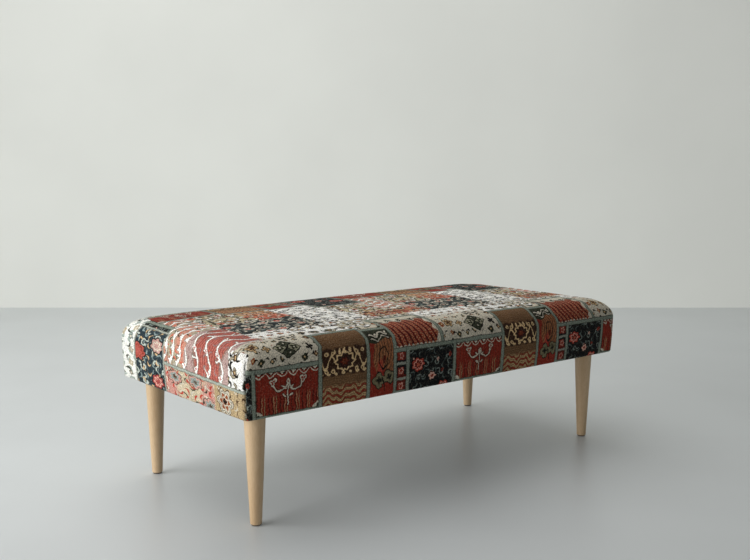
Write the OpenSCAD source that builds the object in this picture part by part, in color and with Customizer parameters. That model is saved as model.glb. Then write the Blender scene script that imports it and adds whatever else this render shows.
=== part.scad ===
// Upholstered bench ottoman: a webbed timber box in a patchwork cover, on four screwed-in tapered legs.
// X runs along the length, Y across the depth and Z up. The origin is on the floor, below the middle.

/* [Body] */
// Length of the upholstered body
body_length = 1200; // [900:10:1500]
// Depth of the upholstered body, front to back
body_width = 575; // [480:5:700]
// Thickness of the body at the edge of the seat, before the crown
body_height = 143; // [135:1:200]
// Rise of the crown at the middle of the seat
crown_rise = 13; // [4:1:25]
// Rounding of the seat's edge
edge_round = 44; // [34:1:50]
// Rounding of the upright corners
corner_round = 22; // [18:1:32]
// Extra rounding that the corners gain towards the seat
corner_soften = 30; // [10:1:50]
// How far the sides are drawn in at the bottom
draw_in_depth = 4; // [0:0.5:5]

/* [Upholstery] */
// Thickness of the cover cloth
cover_t = 1.8; // [1:0.1:3]
// Radius at which the cover turns under the frame
cover_bend_r = 6; // [4.5:0.5:8]
// Distance of the hem's inner edge from the outside of the body
hem_inset = 24; // [18:1:25]
// Thickness of the fibre wadding
wadding_t = 8; // [6:0.5:12]
// Thickness of the hessian under the foam
hessian_t = 0.8; // [0.5:0.1:1.5]
// Thickness of the dust cover
dust_cover_t = 0.8; // [0.4:0.1:1.2]
// Distance of the dust cover's edge from the outside of the body
dust_cover_back = 14; // [12:1:18]

/* [Timber frame] */
// Thickness of the outer rails
rail_t = 22; // [20:1:28]
// Height of the outer rails
rail_h = 70; // [60:1:75]
// Thickness of the cross rails
cross_rail_t = 28; // [20:1:40]
// Height of the cross rails, lower than the outer rails so that the webbing can give
cross_rail_h = 45; // [40:1:50]
// Distance of each cross rail from the middle
cross_rail_x = 190; // [150:5:230]
// Width of a corner block, along each rail
block_w = 90; // [84:1:110]
// Height of a corner block
block_h = 45; // [38:1:50]
// Length that the bevel takes off each side of a corner block
block_bevel = 34; // [20:1:40]

/* [Webbing] */
// Width of a webbing strap
strap_w = 60; // [40:1:66]
// Thickness of a webbing strap
strap_t = 2; // [1.2:0.1:3]

/* [Legs] */
// Height of the body's underside above the floor
leg_clear = 242; // [180:1:300]
// Diameter of a leg at its top
leg_top_d = 47; // [40:1:52]
// Diameter of a leg at its foot
leg_foot_d = 25; // [22:1:34]
// Distance of a leg's axis from the outside of the body
leg_inset = 62; // [61:1:68]
// Bevel round the top of a leg
leg_top_bevel = 1; // [0.5:0.1:2]
// Rounding of a leg's foot
leg_foot_round = 1.5; // [0.5:0.1:2]
// Diameter of a glide
glide_d = 21; // [14:1:22]
// Thickness of a glide
glide_t = 3; // [2:0.5:6]

/* [Leg fittings] */
// Width of a leg plate, which is square
plate_w = 62; // [58:1:64]
// Thickness of a leg plate
plate_t = 2.5; // [2:0.1:3]
// Rounding of a leg plate's corners
plate_round = 8; // [4:1:12]
// Distance of a plate screw from the leg's axis, along each side of the plate
plate_screw_off = 22.5; // [21.5:0.5:23.5]
// Diameter of a leg bolt
bolt_d = 8; // [6:1:10]
// Length of a leg bolt in the leg
bolt_in_leg = 42; // [30:1:60]
// Length of a leg bolt above the leg
bolt_above_leg = 20; // [14:1:24]
// Diameter of the threaded collar on a leg plate
collar_d = 14; // [13:1:18]
// Height of the threaded collar on a leg plate
collar_h = 9; // [6:1:12]

/* [Hidden] */

// Clearances, and the one overrun of all cuts
soft_gap = 0.3; // between a soft layer and what it lies on
fit_gap = 0.1; // round a pin, bolt, screw or staple in its hole
end_gap = 1; // past the end of a pin, bolt or screw in a blind hole
cut = 1;

// Corners in plan, as directions from the middle
front_left = [-1, -1];
front_right = [1, -1];
back_left = [-1, 1];
back_right = [1, 1];
corners = [front_left, front_right, back_left, back_right];

// Webbing
long_straps = 4;
cross_straps = 9;
strap_end_back = 3; // from a strap's end to the outside of its rail
strap_flat_past = 2; // a strap stays level this far past the strap that it crosses

// Levels, from the floor up
body_bottom = leg_clear;
seat_edge_top = body_bottom + body_height;
frame_bottom = body_bottom + cover_t + soft_gap;
rail_top = frame_bottom + rail_h;
leg_top = frame_bottom - plate_t;
dust_cover_top = body_bottom - soft_gap;
dust_cover_bottom = dust_cover_top - dust_cover_t;
strap_lift = strap_t / 2 + fit_gap; // from a strap's level over the rails to its level at a crossing
strap_mid = rail_top + strap_t / 2;
hessian_bottom = strap_mid + strap_lift + strap_t / 2 + soft_gap;
foam_bottom = hessian_bottom + hessian_t + soft_gap;

// Plan sizes, measured in from the outside of the body
half_l = body_length / 2;
half_w = body_width / 2;
wadding_off = cover_t + soft_gap;
wadding_in = wadding_off + wadding_t;
core_off = wadding_in + soft_gap;
core_x = half_l - core_off;
core_y = half_w - core_off;
bay_x = core_x - rail_t;
bay_y = core_y - rail_t;
leg_x = half_l - leg_inset;
leg_y = half_w - leg_inset;

// Shape of the upholstered skins
short_steps = 2; // steps of a quarter outline along its short side
corner_steps = 5; // steps round its corner
long_steps = 3; // steps along its long side
quarter_steps = short_steps + corner_steps + long_steps;
ring_points = 4 * quarter_steps;
crown_long_power = 3; // flatness of the crown along the length
crown_short_power = 2; // flatness of the crown across the depth
seat_shares = [0.86, 0.58, 0.3]; // rings of the seat, from the middle out
most_round_share = 0.9; // most of a ring's half depth that its corners may take
side_shares = [1 / 3, 2 / 3, 1]; // rings of the sides, from the edge of the seat down
fine_angles = [90, 75, 60, 45, 30, 15, 0]; // rings of the rounded edge, on the outside of the cover
edge_angles = [90, 67.5, 45, 22.5, 0]; // rings of the rounded edge, on every other skin
turn_angles = [45, 90]; // rings where the cover turns under
least_round = 1.5; // least corner rounding of a skin

// Dowels of the frame
dowel_d = 8;
dowel_in_rail = 14;
dowel_in_end = 34;
dowel_bevel = 1;
dowel_height_shares = [0.27, 0.75]; // heights of a joint's dowels, as shares of the lower rail of the two

// Screws through the rails into the corner blocks
block_screw_d = 4.5;
block_screw_head_d = 9;
block_screw_head_h = 3;
block_screw_in_block = 28;
block_screw_place_share = 0.8; // place along the block's side, from the corner of the frame
block_screw_height_shares = [0.28, 0.72]; // heights, as shares of the block's height

// Leg fittings
plate_screw_d = 4.2;
plate_screw_head_d = 8;
plate_screw_head_h = 1.8;
plate_screw_l = 18;
thread_depth = 0.6; // a leg bolt's plain waist is this much smaller all round
bolt_waist_h = 6;
bolt_bevel = 1.2;
collar_room = 0.6; // round the collar, in its corner block
glide_bevel = 0.8;
glide_nail_d = 2.4;
glide_nail_l = 14;
glide_nail_point = 3;

// Staples of the dust cover
staple_pitch = 72; // aimed distance from one staple to the next
staple_crown = 10;
staple_wire_w = 1.2;
staple_wire_t = 0.6;
staple_leg = 10;
staple_line_in = 6; // from a rail's inner face to the line of staples
window_room = 3; // round a leg plate, in the dust cover

// Smoothness
round_fn = 64;
bore_fn = 32;
arc_steps = 4; // steps of a rounding in a turned outline

timber = [0.80, 0.67, 0.48];
beech = [0.86, 0.74, 0.56];
steel = [0.72, 0.73, 0.75];
black_weave = [0.13, 0.13, 0.14];

// Height that the crown adds at a place on the seat
function crown_at(x, y) =
    crown_rise * (1 - pow(abs(x) / half_l, crown_long_power))
               * (1 - pow(abs(y) / half_w, crown_short_power));

// Corner rounding of a skin that lies off inside the outside of the body
function skin_round(off) = max(least_round, corner_round - off);

// Point i of a quarter outline with half sizes hx and hy and corner rounding r.
// oval takes it from a rounded rectangle, at 0, to an ellipse, at 1.
function quarter_point(i, hx, hy, r, oval) =
    let (turn = 90 * (i - short_steps) / corner_steps)
    let (boxed = i <= short_steps ? [hx, (hy - r) * i / short_steps]
            : i <= short_steps + corner_steps ? [hx - r + r * cos(turn), hy - r + r * sin(turn)]
            : [(hx - r) * (quarter_steps - i) / long_steps, hy])
    let (round_turn = 90 * i / quarter_steps)
    (1 - oval) * boxed + oval * [hx * cos(round_turn), hy * sin(round_turn)];

// Whole outline, anticlockwise from the middle of the right end
function outline(hx, hy, r, oval) =
    let (quarter = [for (i = [0 : quarter_steps]) quarter_point(i, hx, hy, r, oval)])
    concat(
        [for (i = [0 : quarter_steps - 1]) quarter[i]],
        [for (i = [quarter_steps : -1 : 1]) [-quarter[i][0], quarter[i][1]]],
        [for (i = [0 : quarter_steps - 1]) [-quarter[i][0], -quarter[i][1]]],
        [for (i = [quarter_steps : -1 : 1]) [quarter[i][0], -quarter[i][1]]]
    );

// One ring of a skin, in by the given distance, with the given share of the crown on it
function ring(in, r, z, crown_share = 0, oval = 0) =
    let (hx = half_l - in, hy = half_w - in)
    [for (p = outline(hx, hy, min(r, hy * most_round_share), oval))
        [p[0], p[1], z + crown_share * crown_at(p[0], p[1])]];

// Rings of the seat, from its middle out to where the rounded edge starts
function seat_rings(off) =
    let (reach = half_w - edge_round)
    [for (s = seat_shares)
        ring(edge_round + reach * s, skin_round(off) + corner_soften, seat_edge_top - off,
             1, s / seat_shares[0])];

// Rings of the rounded edge of the seat, down to the top of the sides
function edge_rings(off, angles) =
    let (bend = edge_round - off)
    [for (a = angles)
        ring(off + bend * (1 - cos(a)), skin_round(off) + corner_soften * (1 - cos(a)),
             seat_edge_top - edge_round + bend * sin(a), sin(a))];

// Rings of the sides, from below the rounded edge down to the level low
function side_rings(off, low, draw) =
    let (high = seat_edge_top - edge_round)
    [for (s = side_shares)
        ring(off + draw * s * s, skin_round(off + draw * s * s), high + (low - high) * s)];

function backwards(list) = [for (i = [len(list) - 1 : -1 : 0]) list[i]];

// Triangles across ring k, from each point to its mirror image in the X axis
function crowned_cap(k, up) =
    let (n = ring_points, start = k * ring_points)
    [for (i = [0 : n / 2 - 1])
        let (j = i + 1, i_mirror = (n - i) % n, j_mirror = n - i - 1)
        for (t = concat(j < n / 2 ? [[i, j, j_mirror]] : [], i > 0 ? [[i, j_mirror, i_mirror]] : []))
            [for (p = up ? backwards(t) : t) start + p]];

// Flat triangles across ring k, all to the point with the number middle
function flat_cap(k, middle) =
    [for (i = [0 : ring_points - 1])
        [k * ring_points + i, k * ring_points + (i + 1) % ring_points, middle]];

// Triangles between ring k and the next. leaning picks the diagonal, so that skins that face
// each other have theirs alike
function band(k, leaning) =
    [for (i = [0 : ring_points - 1])
        let (a = k * ring_points + i, b = k * ring_points + (i + 1) % ring_points)
        let (c = b + ring_points, d = a + ring_points)
        each leaning ? [[a, b, d], [b, c, d]] : [[a, b, c], [a, c, d]]];

// A skin with an outside and an inside, both closed over the seat and joined at their lowest rings
module shell(outside, inside) {
    rings = concat(outside, backwards(inside));
    last = len(rings) - 1;
    faces = concat(
        crowned_cap(0, true),
        [for (k = [0 : last - 1]) each band(k, k >= len(outside))],
        crowned_cap(last, false)
    );
    polyhedron(points = [for (r = rings) each r], faces = faces);
}

// A block of padding under the given rings, flat below
module pad(rings) {
    last = len(rings) - 1;
    faces = concat(
        crowned_cap(0, true),
        [for (k = [0 : last - 1]) each band(k, false)],
        flat_cap(last, len(rings) * ring_points)
    );
    polyhedron(points = concat([for (r = rings) each r], [[0, 0, rings[last][0][2]]]), faces = faces);
}

// Flat rounded rectangle with half sizes hx and hy
module rounded_plate(hx, hy, r) {
    square([2 * (hx - r), 2 * hy], center = true);
    square([2 * hx, 2 * (hy - r)], center = true);
    for (c = corners)
        translate([c[0] * (hx - r), c[1] * (hy - r)])
            circle(r, $fn = round_fn);
}

// Round rod along Z with bevelled ends, from z = 0 up
module rod(d, l, bevel) {
    rotate_extrude($fn = bore_fn)
        polygon([[0, 0], [d / 2 - bevel, 0], [d / 2, bevel], [d / 2, l - bevel],
                 [d / 2 - bevel, l], [0, l]]);
}

// Countersunk screw along Z, from its flat head at z = 0 up. grow makes its hole
module screw(d, l, head_d, head_h, grow = 0) {
    rotate_extrude($fn = bore_fn)
        polygon([[0, 0], [head_d / 2 + grow, 0], [d / 2 + grow, head_h], [d / 2 + grow, l + grow],
                 [0, l + grow]]);
}

// Places its children at each dowel, along +Z from the joint's face into the long rail.
// Only the joints that meet the long rail on the given side are taken.
module at_dowels(side) {
    for (joint = [[-bay_x - rail_t / 2, rail_h], [bay_x + rail_t / 2, rail_h],
                  [-cross_rail_x, cross_rail_h], [cross_rail_x, cross_rail_h]])
        for (s = dowel_height_shares)
            translate([joint[0], side * bay_y, frame_bottom + joint[1] * s])
                rotate([-90 * side, 0, 0])
                    children();
}

module dowel_holes(side) {
    at_dowels(side)
        translate([0, 0, -dowel_in_end - end_gap])
            cylinder(d = dowel_d + 2 * fit_gap, h = dowel_in_end + dowel_in_rail + 2 * end_gap,
                     $fn = bore_fn);
}

// Places its children at each block screw of a corner, along +Z from the outside of the frame in
module at_block_screws(corner) {
    place = rail_t + block_w * block_screw_place_share;
    for (s = block_screw_height_shares) {
        translate([corner[0] * (core_x - place), corner[1] * core_y, frame_bottom + block_h * s])
            rotate([90 * corner[1], 0, 0])
                children();
        translate([corner[0] * core_x, corner[1] * (core_y - place), frame_bottom + block_h * s])
            rotate([0, -90 * corner[0], 0])
                children();
    }
}

module block_screw(grow = 0) {
    screw(block_screw_d, rail_t + block_screw_in_block, block_screw_head_d, block_screw_head_h, grow);
}

// Holes of all the block screws, open at the outside of the frame
module block_screw_holes() {
    for (c = corners)
        at_block_screws(c) {
            block_screw(fit_gap);
            translate([0, 0, -cut])
                cylinder(d = block_screw_head_d + 2 * fit_gap, h = cut, $fn = bore_fn);
        }
}

// Places of the staples along a line of the given length
function staple_places(l) =
    let (n = floor(l / staple_pitch))
    [for (i = [0 : n - 1]) l * ((i + 1 / 2) / n - 1 / 2)];

// Places its children at each staple, with its crown along X and its legs up from z = 0
module at_staples() {
    for (side = [-1, 1]) {
        for (x = staple_places(2 * bay_x))
            translate([x, side * (bay_y + staple_line_in), dust_cover_bottom - staple_wire_t])
                children();
        for (y = staple_places(2 * bay_y))
            translate([side * (bay_x + staple_line_in), y, dust_cover_bottom - staple_wire_t])
                rotate([0, 0, 90])
                    children();
    }
}

module staple_holes() {
    leg_mid = (staple_crown - staple_wire_t) / 2;
    at_staples()
        for (end = [-1, 1])
            translate([end * leg_mid, 0, (staple_leg + end_gap) / 2])
                cube([staple_wire_t + 2 * fit_gap, staple_wire_w + 2 * fit_gap, staple_leg + end_gap],
                     center = true);
}

// Outline of the timber frame, from the given height
module frame_outline(bottom, h) {
    translate([0, 0, bottom])
        linear_extrude(h)
            rounded_plate(core_x, core_y, skin_round(core_off));
}

module long_rail(side) {
    color(timber)
        difference() {
            intersection() {
                frame_outline(frame_bottom, rail_h);
                translate([-core_x, side * (core_y - rail_t / 2) - rail_t / 2, frame_bottom])
                    cube([2 * core_x, rail_t, rail_h]);
            }
            dowel_holes(side);
            block_screw_holes();
            staple_holes();
        }
}

module end_rail(side) {
    color(timber)
        difference() {
            translate([side * (core_x - rail_t / 2) - rail_t / 2, -bay_y, frame_bottom])
                cube([rail_t, 2 * bay_y, rail_h]);
            dowel_holes(-1);
            dowel_holes(1);
            block_screw_holes();
            staple_holes();
        }
}

module cross_rail(side) {
    color(timber)
        difference() {
            translate([side * cross_rail_x - cross_rail_t / 2, -bay_y, frame_bottom])
                cube([cross_rail_t, 2 * bay_y, cross_rail_h]);
            dowel_holes(-1);
            dowel_holes(1);
        }
}

// Places its children at each plate screw of a leg, along +Z from the underside of the plate
module at_plate_screws() {
    for (c = corners)
        translate([c[0] * plate_screw_off, c[1] * plate_screw_off, leg_top])
            children();
}

// Moves its children from the Z axis to a leg's axis
module at_leg(corner) {
    translate([corner[0] * leg_x, corner[1] * leg_y, 0])
        children();
}

module plate_screw(grow = 0) {
    screw(plate_screw_d, plate_screw_l, plate_screw_head_d, plate_screw_head_h, grow);
}

module corner_block(corner) {
    free = block_w - block_bevel;
    color(timber)
        difference() {
            translate([corner[0] * bay_x, corner[1] * bay_y, frame_bottom])
                linear_extrude(block_h)
                    polygon([for (p = [[0, 0], [block_w, 0], [block_w, free],
                                       [free, block_w], [0, block_w]])
                        [-corner[0] * p[0], -corner[1] * p[1]]]);
            at_leg(corner) {
                translate([0, 0, frame_bottom - cut])
                    cylinder(d = collar_d + 2 * collar_room, h = collar_h + end_gap + cut,
                             $fn = round_fn);
                translate([0, 0, frame_bottom])
                    cylinder(d = bolt_d + 2 * collar_room, h = bolt_above_leg + end_gap,
                             $fn = bore_fn);
                at_plate_screws()
                    plate_screw(fit_gap);
            }
            block_screw_holes();
        }
}

module leg_plate(corner) {
    color(steel)
        at_leg(corner)
            difference() {
                union() {
                    translate([0, 0, leg_top])
                        linear_extrude(plate_t)
                            rounded_plate(plate_w / 2, plate_w / 2, plate_round);
                    translate([0, 0, leg_top])
                        cylinder(d = collar_d, h = plate_t + collar_h, $fn = round_fn);
                }
                translate([0, 0, leg_top - cut])
                    cylinder(d = bolt_d + 2 * fit_gap, h = plate_t + collar_h + 2 * cut, $fn = bore_fn);
                at_plate_screws() {
                    plate_screw(fit_gap);
                    translate([0, 0, -cut])
                        cylinder(d = plate_screw_head_d + 2 * fit_gap, h = cut, $fn = bore_fn);
                }
            }
}

// Hanger bolt: a wood thread below, a plain waist, and a machine thread above
module leg_bolt(corner) {
    r = bolt_d / 2;
    waist_r = r - thread_depth;
    low = leg_top - bolt_in_leg;
    high = leg_top + bolt_above_leg;
    color(steel)
        at_leg(corner)
            rotate_extrude($fn = bore_fn)
                polygon([[0, low], [r - bolt_bevel, low], [r, low + bolt_bevel],
                         [r, leg_top - bolt_waist_h - thread_depth], [waist_r, leg_top - bolt_waist_h],
                         [waist_r, leg_top - thread_depth], [r, leg_top],
                         [r, high - bolt_bevel], [r - bolt_bevel, high], [0, high]]);
}

module leg(corner) {
    top_r = leg_top_d / 2;
    foot_r = leg_foot_d / 2;
    color(beech)
        at_leg(corner)
            difference() {
                rotate_extrude($fn = round_fn)
                    polygon(concat(
                        [[0, glide_t]],
                        [for (i = [0 : arc_steps])
                            let (a = 90 * i / arc_steps)
                            [foot_r - leg_foot_round * (1 - sin(a)),
                             glide_t + leg_foot_round * (1 - cos(a))]],
                        [[top_r, leg_top - leg_top_bevel], [top_r - leg_top_bevel, leg_top],
                         [0, leg_top]]
                    ));
                translate([0, 0, leg_top - bolt_in_leg - end_gap])
                    cylinder(d = bolt_d + 2 * fit_gap, h = bolt_in_leg + end_gap + cut, $fn = bore_fn);
                translate([0, 0, glide_t - cut])
                    cylinder(d = glide_nail_d + 2 * fit_gap, h = glide_nail_l + end_gap + cut,
                             $fn = bore_fn);
            }
}

// Nail-in glide with a bevelled rim
module glide(corner) {
    r = glide_d / 2;
    nail_r = glide_nail_d / 2;
    nail_top = glide_t + glide_nail_l;
    color([0.30, 0.25, 0.20])
        at_leg(corner)
            rotate_extrude($fn = round_fn)
                polygon([[0, 0], [r - glide_bevel, 0], [r, glide_bevel], [r, glide_t], [nail_r, glide_t],
                         [nail_r, nail_top - glide_nail_point], [0, nail_top]]);
}

// Side view of a strap that rests on two rails and weaves over and under the straps it crosses.
// first is 1 where it goes over the first of them, and -1 where it goes under.
module strap_profile(reach, bay, crossings, first) {
    flat = strap_w / 2 + strap_flat_past;
    path = concat(
        [[-reach, 0], [-bay, 0]],
        [for (i = [0 : len(crossings) - 1])
            let (level = first * (i % 2 == 0 ? 1 : -1) * strap_lift)
            each [[crossings[i] - flat, level], [crossings[i] + flat, level]]],
        [[bay, 0], [reach, 0]]
    );
    polygon(concat(
        [for (p = path) p - [0, strap_t / 2]],
        [for (p = backwards(path)) p + [0, strap_t / 2]]
    ));
}

// Middles of n straps spread over a bay
function strap_places(n, bay) = [for (i = [0 : n - 1]) bay * ((2 * i + 1) / n - 1)];

module webbing_long(k) {
    color(black_weave)
        translate([0, strap_places(long_straps, bay_y)[k - 1] + strap_w / 2, strap_mid])
            rotate([90, 0, 0])
                linear_extrude(strap_w)
                    strap_profile(core_x - strap_end_back, bay_x, strap_places(cross_straps, bay_x),
                                  k % 2 == 0 ? 1 : -1);
}

module webbing_cross(k) {
    color(black_weave)
        translate([strap_places(cross_straps, bay_x)[k - 1] - strap_w / 2, 0, strap_mid])
            rotate([90, 0, 90])
                linear_extrude(strap_w)
                    strap_profile(core_y - strap_end_back, bay_y, strap_places(long_straps, bay_y),
                                  k % 2 == 0 ? -1 : 1);
}

// Rings where the cover turns under the frame, with the given radius round the bend's own middle
function bend_rings(low, r) =
    [for (a = turn_angles)
        let (in = draw_in_depth + cover_bend_r - r * cos(a))
        ring(in, skin_round(in), low - r * sin(a))];

// The cover: seat, rounded edge, drawn-in sides, and a hem turned under the frame
module seat_cover() {
    low = body_bottom + cover_bend_r;
    hem_round = skin_round(hem_inset);
    outside = concat(
        seat_rings(0),
        edge_rings(0, fine_angles),
        side_rings(0, low, draw_in_depth),
        bend_rings(low, cover_bend_r),
        [ring(hem_inset, hem_round, body_bottom)]
    );
    inside = concat(
        seat_rings(cover_t),
        edge_rings(cover_t, edge_angles),
        side_rings(cover_t, low, draw_in_depth),
        bend_rings(low, cover_bend_r - cover_t),
        [ring(hem_inset, hem_round, body_bottom + cover_t)]
    );
    color([0.60, 0.40, 0.34])
        shell(outside, inside);
}

// Fibre wadding over the foam and down the rails, pressed thinner where the sides draw in
module seat_wadding() {
    low = body_bottom + cover_bend_r;
    outside = concat(
        seat_rings(wadding_off),
        edge_rings(wadding_off, edge_angles),
        side_rings(wadding_off, low, draw_in_depth)
    );
    inside = concat(
        seat_rings(wadding_in),
        edge_rings(wadding_in, edge_angles),
        side_rings(wadding_in, low, 0)
    );
    color([0.95, 0.95, 0.93])
        shell(outside, inside);
}

module seat_foam() {
    color([0.93, 0.88, 0.62])
        pad(concat(
            seat_rings(core_off),
            edge_rings(core_off, edge_angles),
            [ring(core_off, skin_round(core_off), foam_bottom)]
        ));
}

module hessian_sheet() {
    color([0.72, 0.60, 0.42])
        frame_outline(hessian_bottom, hessian_t);
}

module frame_dowels() {
    color(beech)
        for (side = [-1, 1])
            at_dowels(side)
                translate([0, 0, -dowel_in_end])
                    rod(dowel_d, dowel_in_end + dowel_in_rail, dowel_bevel);
}

module corner_block_screws() {
    color(steel)
        for (c = corners)
            at_block_screws(c)
                block_screw();
}

module leg_plate_screws() {
    color(steel)
        for (c = corners)
            at_leg(c)
                at_plate_screws()
                    plate_screw();
}

// Thin cloth under the frame, with a window round each leg plate
module dust_cover() {
    window = plate_w / 2 + window_room;
    hx = half_l - dust_cover_back;
    hy = half_w - dust_cover_back;
    color([0.10, 0.10, 0.11])
        difference() {
            translate([0, 0, dust_cover_bottom])
                linear_extrude(dust_cover_t)
                    rounded_plate(hx, hy, skin_round(dust_cover_back));
            for (c = corners)
                at_leg(c)
                    translate([0, 0, dust_cover_bottom - cut])
                        linear_extrude(dust_cover_t + 2 * cut)
                            rounded_plate(window, window, plate_round);
            staple_holes();
        }
}

module dust_cover_staples() {
    half = staple_crown / 2;
    inside = half - staple_wire_t;
    color(steel)
        at_staples()
            translate([0, staple_wire_w / 2, 0])
                rotate([90, 0, 0])
                    linear_extrude(staple_wire_w)
                        polygon([[-half, 0], [half, 0], [half, staple_leg], [inside, staple_leg],
                                 [inside, staple_wire_t], [-inside, staple_wire_t],
                                 [-inside, staple_leg], [-half, staple_leg]]);
}

seat_cover();
seat_wadding();
seat_foam();
hessian_sheet();
webbing_long(1);  // webbing_long_1
webbing_long(2);  // webbing_long_2
webbing_long(3);  // webbing_long_3
webbing_long(4);  // webbing_long_4
webbing_cross(1);  // webbing_cross_1
webbing_cross(2);  // webbing_cross_2
webbing_cross(3);  // webbing_cross_3
webbing_cross(4);  // webbing_cross_4
webbing_cross(5);  // webbing_cross_5
webbing_cross(6);  // webbing_cross_6
webbing_cross(7);  // webbing_cross_7
webbing_cross(8);  // webbing_cross_8
webbing_cross(9);  // webbing_cross_9
long_rail(-1);  // rail_front
long_rail(1);  // rail_back
end_rail(-1);  // rail_left
end_rail(1);  // rail_right
cross_rail(-1);  // cross_rail_left
cross_rail(1);  // cross_rail_right
corner_block(front_left);  // corner_block_front_left
corner_block(front_right);  // corner_block_front_right
corner_block(back_left);  // corner_block_back_left
corner_block(back_right);  // corner_block_back_right
frame_dowels();
corner_block_screws();
leg_plate(front_left);  // leg_plate_front_left
leg_plate(front_right);  // leg_plate_front_right
leg_plate(back_left);  // leg_plate_back_left
leg_plate(back_right);  // leg_plate_back_right
leg_plate_screws();
leg_bolt(front_left);  // leg_bolt_front_left
leg_bolt(front_right);  // leg_bolt_front_right
leg_bolt(back_left);  // leg_bolt_back_left
leg_bolt(back_right);  // leg_bolt_back_right
leg(front_left);  // leg_front_left
leg(front_right);  // leg_front_right
leg(back_left);  // leg_back_left
leg(back_right);  // leg_back_right
glide(front_left);  // glide_front_left
glide(front_right);  // glide_front_right
glide(back_left);  // glide_back_left
glide(back_right);  // glide_back_right
dust_cover();
dust_cover_staples();
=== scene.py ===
import functools
import math

import bpy
import numpy as np
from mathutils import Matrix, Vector


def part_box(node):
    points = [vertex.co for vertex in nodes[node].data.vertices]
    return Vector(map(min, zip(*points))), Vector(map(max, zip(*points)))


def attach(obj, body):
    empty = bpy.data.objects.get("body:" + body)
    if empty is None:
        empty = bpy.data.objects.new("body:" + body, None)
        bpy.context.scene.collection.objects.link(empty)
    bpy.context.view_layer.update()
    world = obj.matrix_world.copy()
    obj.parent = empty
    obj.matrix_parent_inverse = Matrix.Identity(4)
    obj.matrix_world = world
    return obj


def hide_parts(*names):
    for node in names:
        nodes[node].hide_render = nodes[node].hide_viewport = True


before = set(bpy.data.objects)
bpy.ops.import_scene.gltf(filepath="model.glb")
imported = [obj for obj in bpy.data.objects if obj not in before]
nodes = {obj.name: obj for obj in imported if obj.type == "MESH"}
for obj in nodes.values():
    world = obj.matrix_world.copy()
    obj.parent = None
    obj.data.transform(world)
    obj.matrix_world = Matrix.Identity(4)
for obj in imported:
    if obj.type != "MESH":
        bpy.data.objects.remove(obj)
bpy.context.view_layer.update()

scene = bpy.context.scene
MM = 0.001

# Sizes of the body, as the CAD has them
LOW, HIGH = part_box("seat_cover")
HALF_L = HIGH.x
HALF_W = HIGH.y
BODY_BOTTOM = LOW.z
EDGE_TOP = BODY_BOTTOM + 143 * MM
EDGE_ROUND = 44 * MM
CROWN_RISE = 13 * MM
SEAT_SWELL = 5 * MM
SIDE_SWELL = 1 * MM
SIDE_GIVE = 0.2 * MM
CORNER_ROUND = 22 * MM
CORNER_SOFTEN = 30 * MM
DRAW_IN = 4 * MM
BEND_R = 6 * MM
HEM = 24 * MM
COVER_T = 1.8 * MM
LEAST_ROUND = 1.5 * MM

# Lengths along the skin, out from where the rounded edge starts
ARC = EDGE_ROUND * math.pi / 2
SIDE = EDGE_TOP - EDGE_ROUND - BODY_BOTTOM - BEND_R
BEND = BEND_R * math.pi / 2
TURN_IN = HEM - DRAW_IN - BEND_R
FLAT_L = HALF_L - EDGE_ROUND
FLAT_W = HALF_W - EDGE_ROUND
MID_EDGE = ARC / 2


def profile(s, off, draw):
    """Inset, corner rounding, level and crown share at the length s along the skin, off inside its outside."""
    s = np.asarray(s, float)
    inset, level, share = np.empty_like(s), np.empty_like(s), np.zeros_like(s)
    rounding = np.empty_like(s)
    top = s <= 0
    inset[top] = EDGE_ROUND - s[top]
    level[top] = EDGE_TOP - off
    share[top] = 1
    reach = CORNER_ROUND + CORNER_SOFTEN
    rounding[top] = reach * np.clip(1 + s[top] / (3 * reach), 0, 1) ** 2
    edge = (s > 0) & (s <= ARC)
    a = math.pi / 2 * (1 - s[edge] / ARC)
    inset[edge] = off + (EDGE_ROUND - off) * (1 - np.cos(a))
    level[edge] = EDGE_TOP - EDGE_ROUND + (EDGE_ROUND - off) * np.sin(a)
    share[edge] = np.sin(a)
    rounding[edge] = CORNER_ROUND - off + CORNER_SOFTEN * (1 - np.cos(a))
    side = (s > ARC) & (s <= ARC + SIDE)
    t = (s[side] - ARC) / SIDE
    inset[side] = off + draw * t**2
    level[side] = EDGE_TOP - EDGE_ROUND - SIDE * t
    bend = (s > ARC + SIDE) & (s <= ARC + SIDE + BEND)
    a = math.pi / 2 * (s[bend] - ARC - SIDE) / BEND
    inset[bend] = DRAW_IN + BEND_R - (BEND_R - off) * np.cos(a)
    level[bend] = BODY_BOTTOM + BEND_R - (BEND_R - off) * np.sin(a)
    hem = s > ARC + SIDE + BEND
    inset[hem] = DRAW_IN + BEND_R + s[hem] - ARC - SIDE - BEND
    level[hem] = BODY_BOTTOM + off
    low = side | bend | hem
    rounding[low] = np.maximum(CORNER_ROUND - inset[low], LEAST_ROUND)
    return inset, rounding, level, share


def crown(x, y):
    share = (1 - np.abs(x / HALF_L) ** 3) * (1 - np.abs(y / HALF_W) ** 2)
    rise = CROWN_RISE - SEAT_SWELL
    return rise * np.maximum(share, 0)


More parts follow.
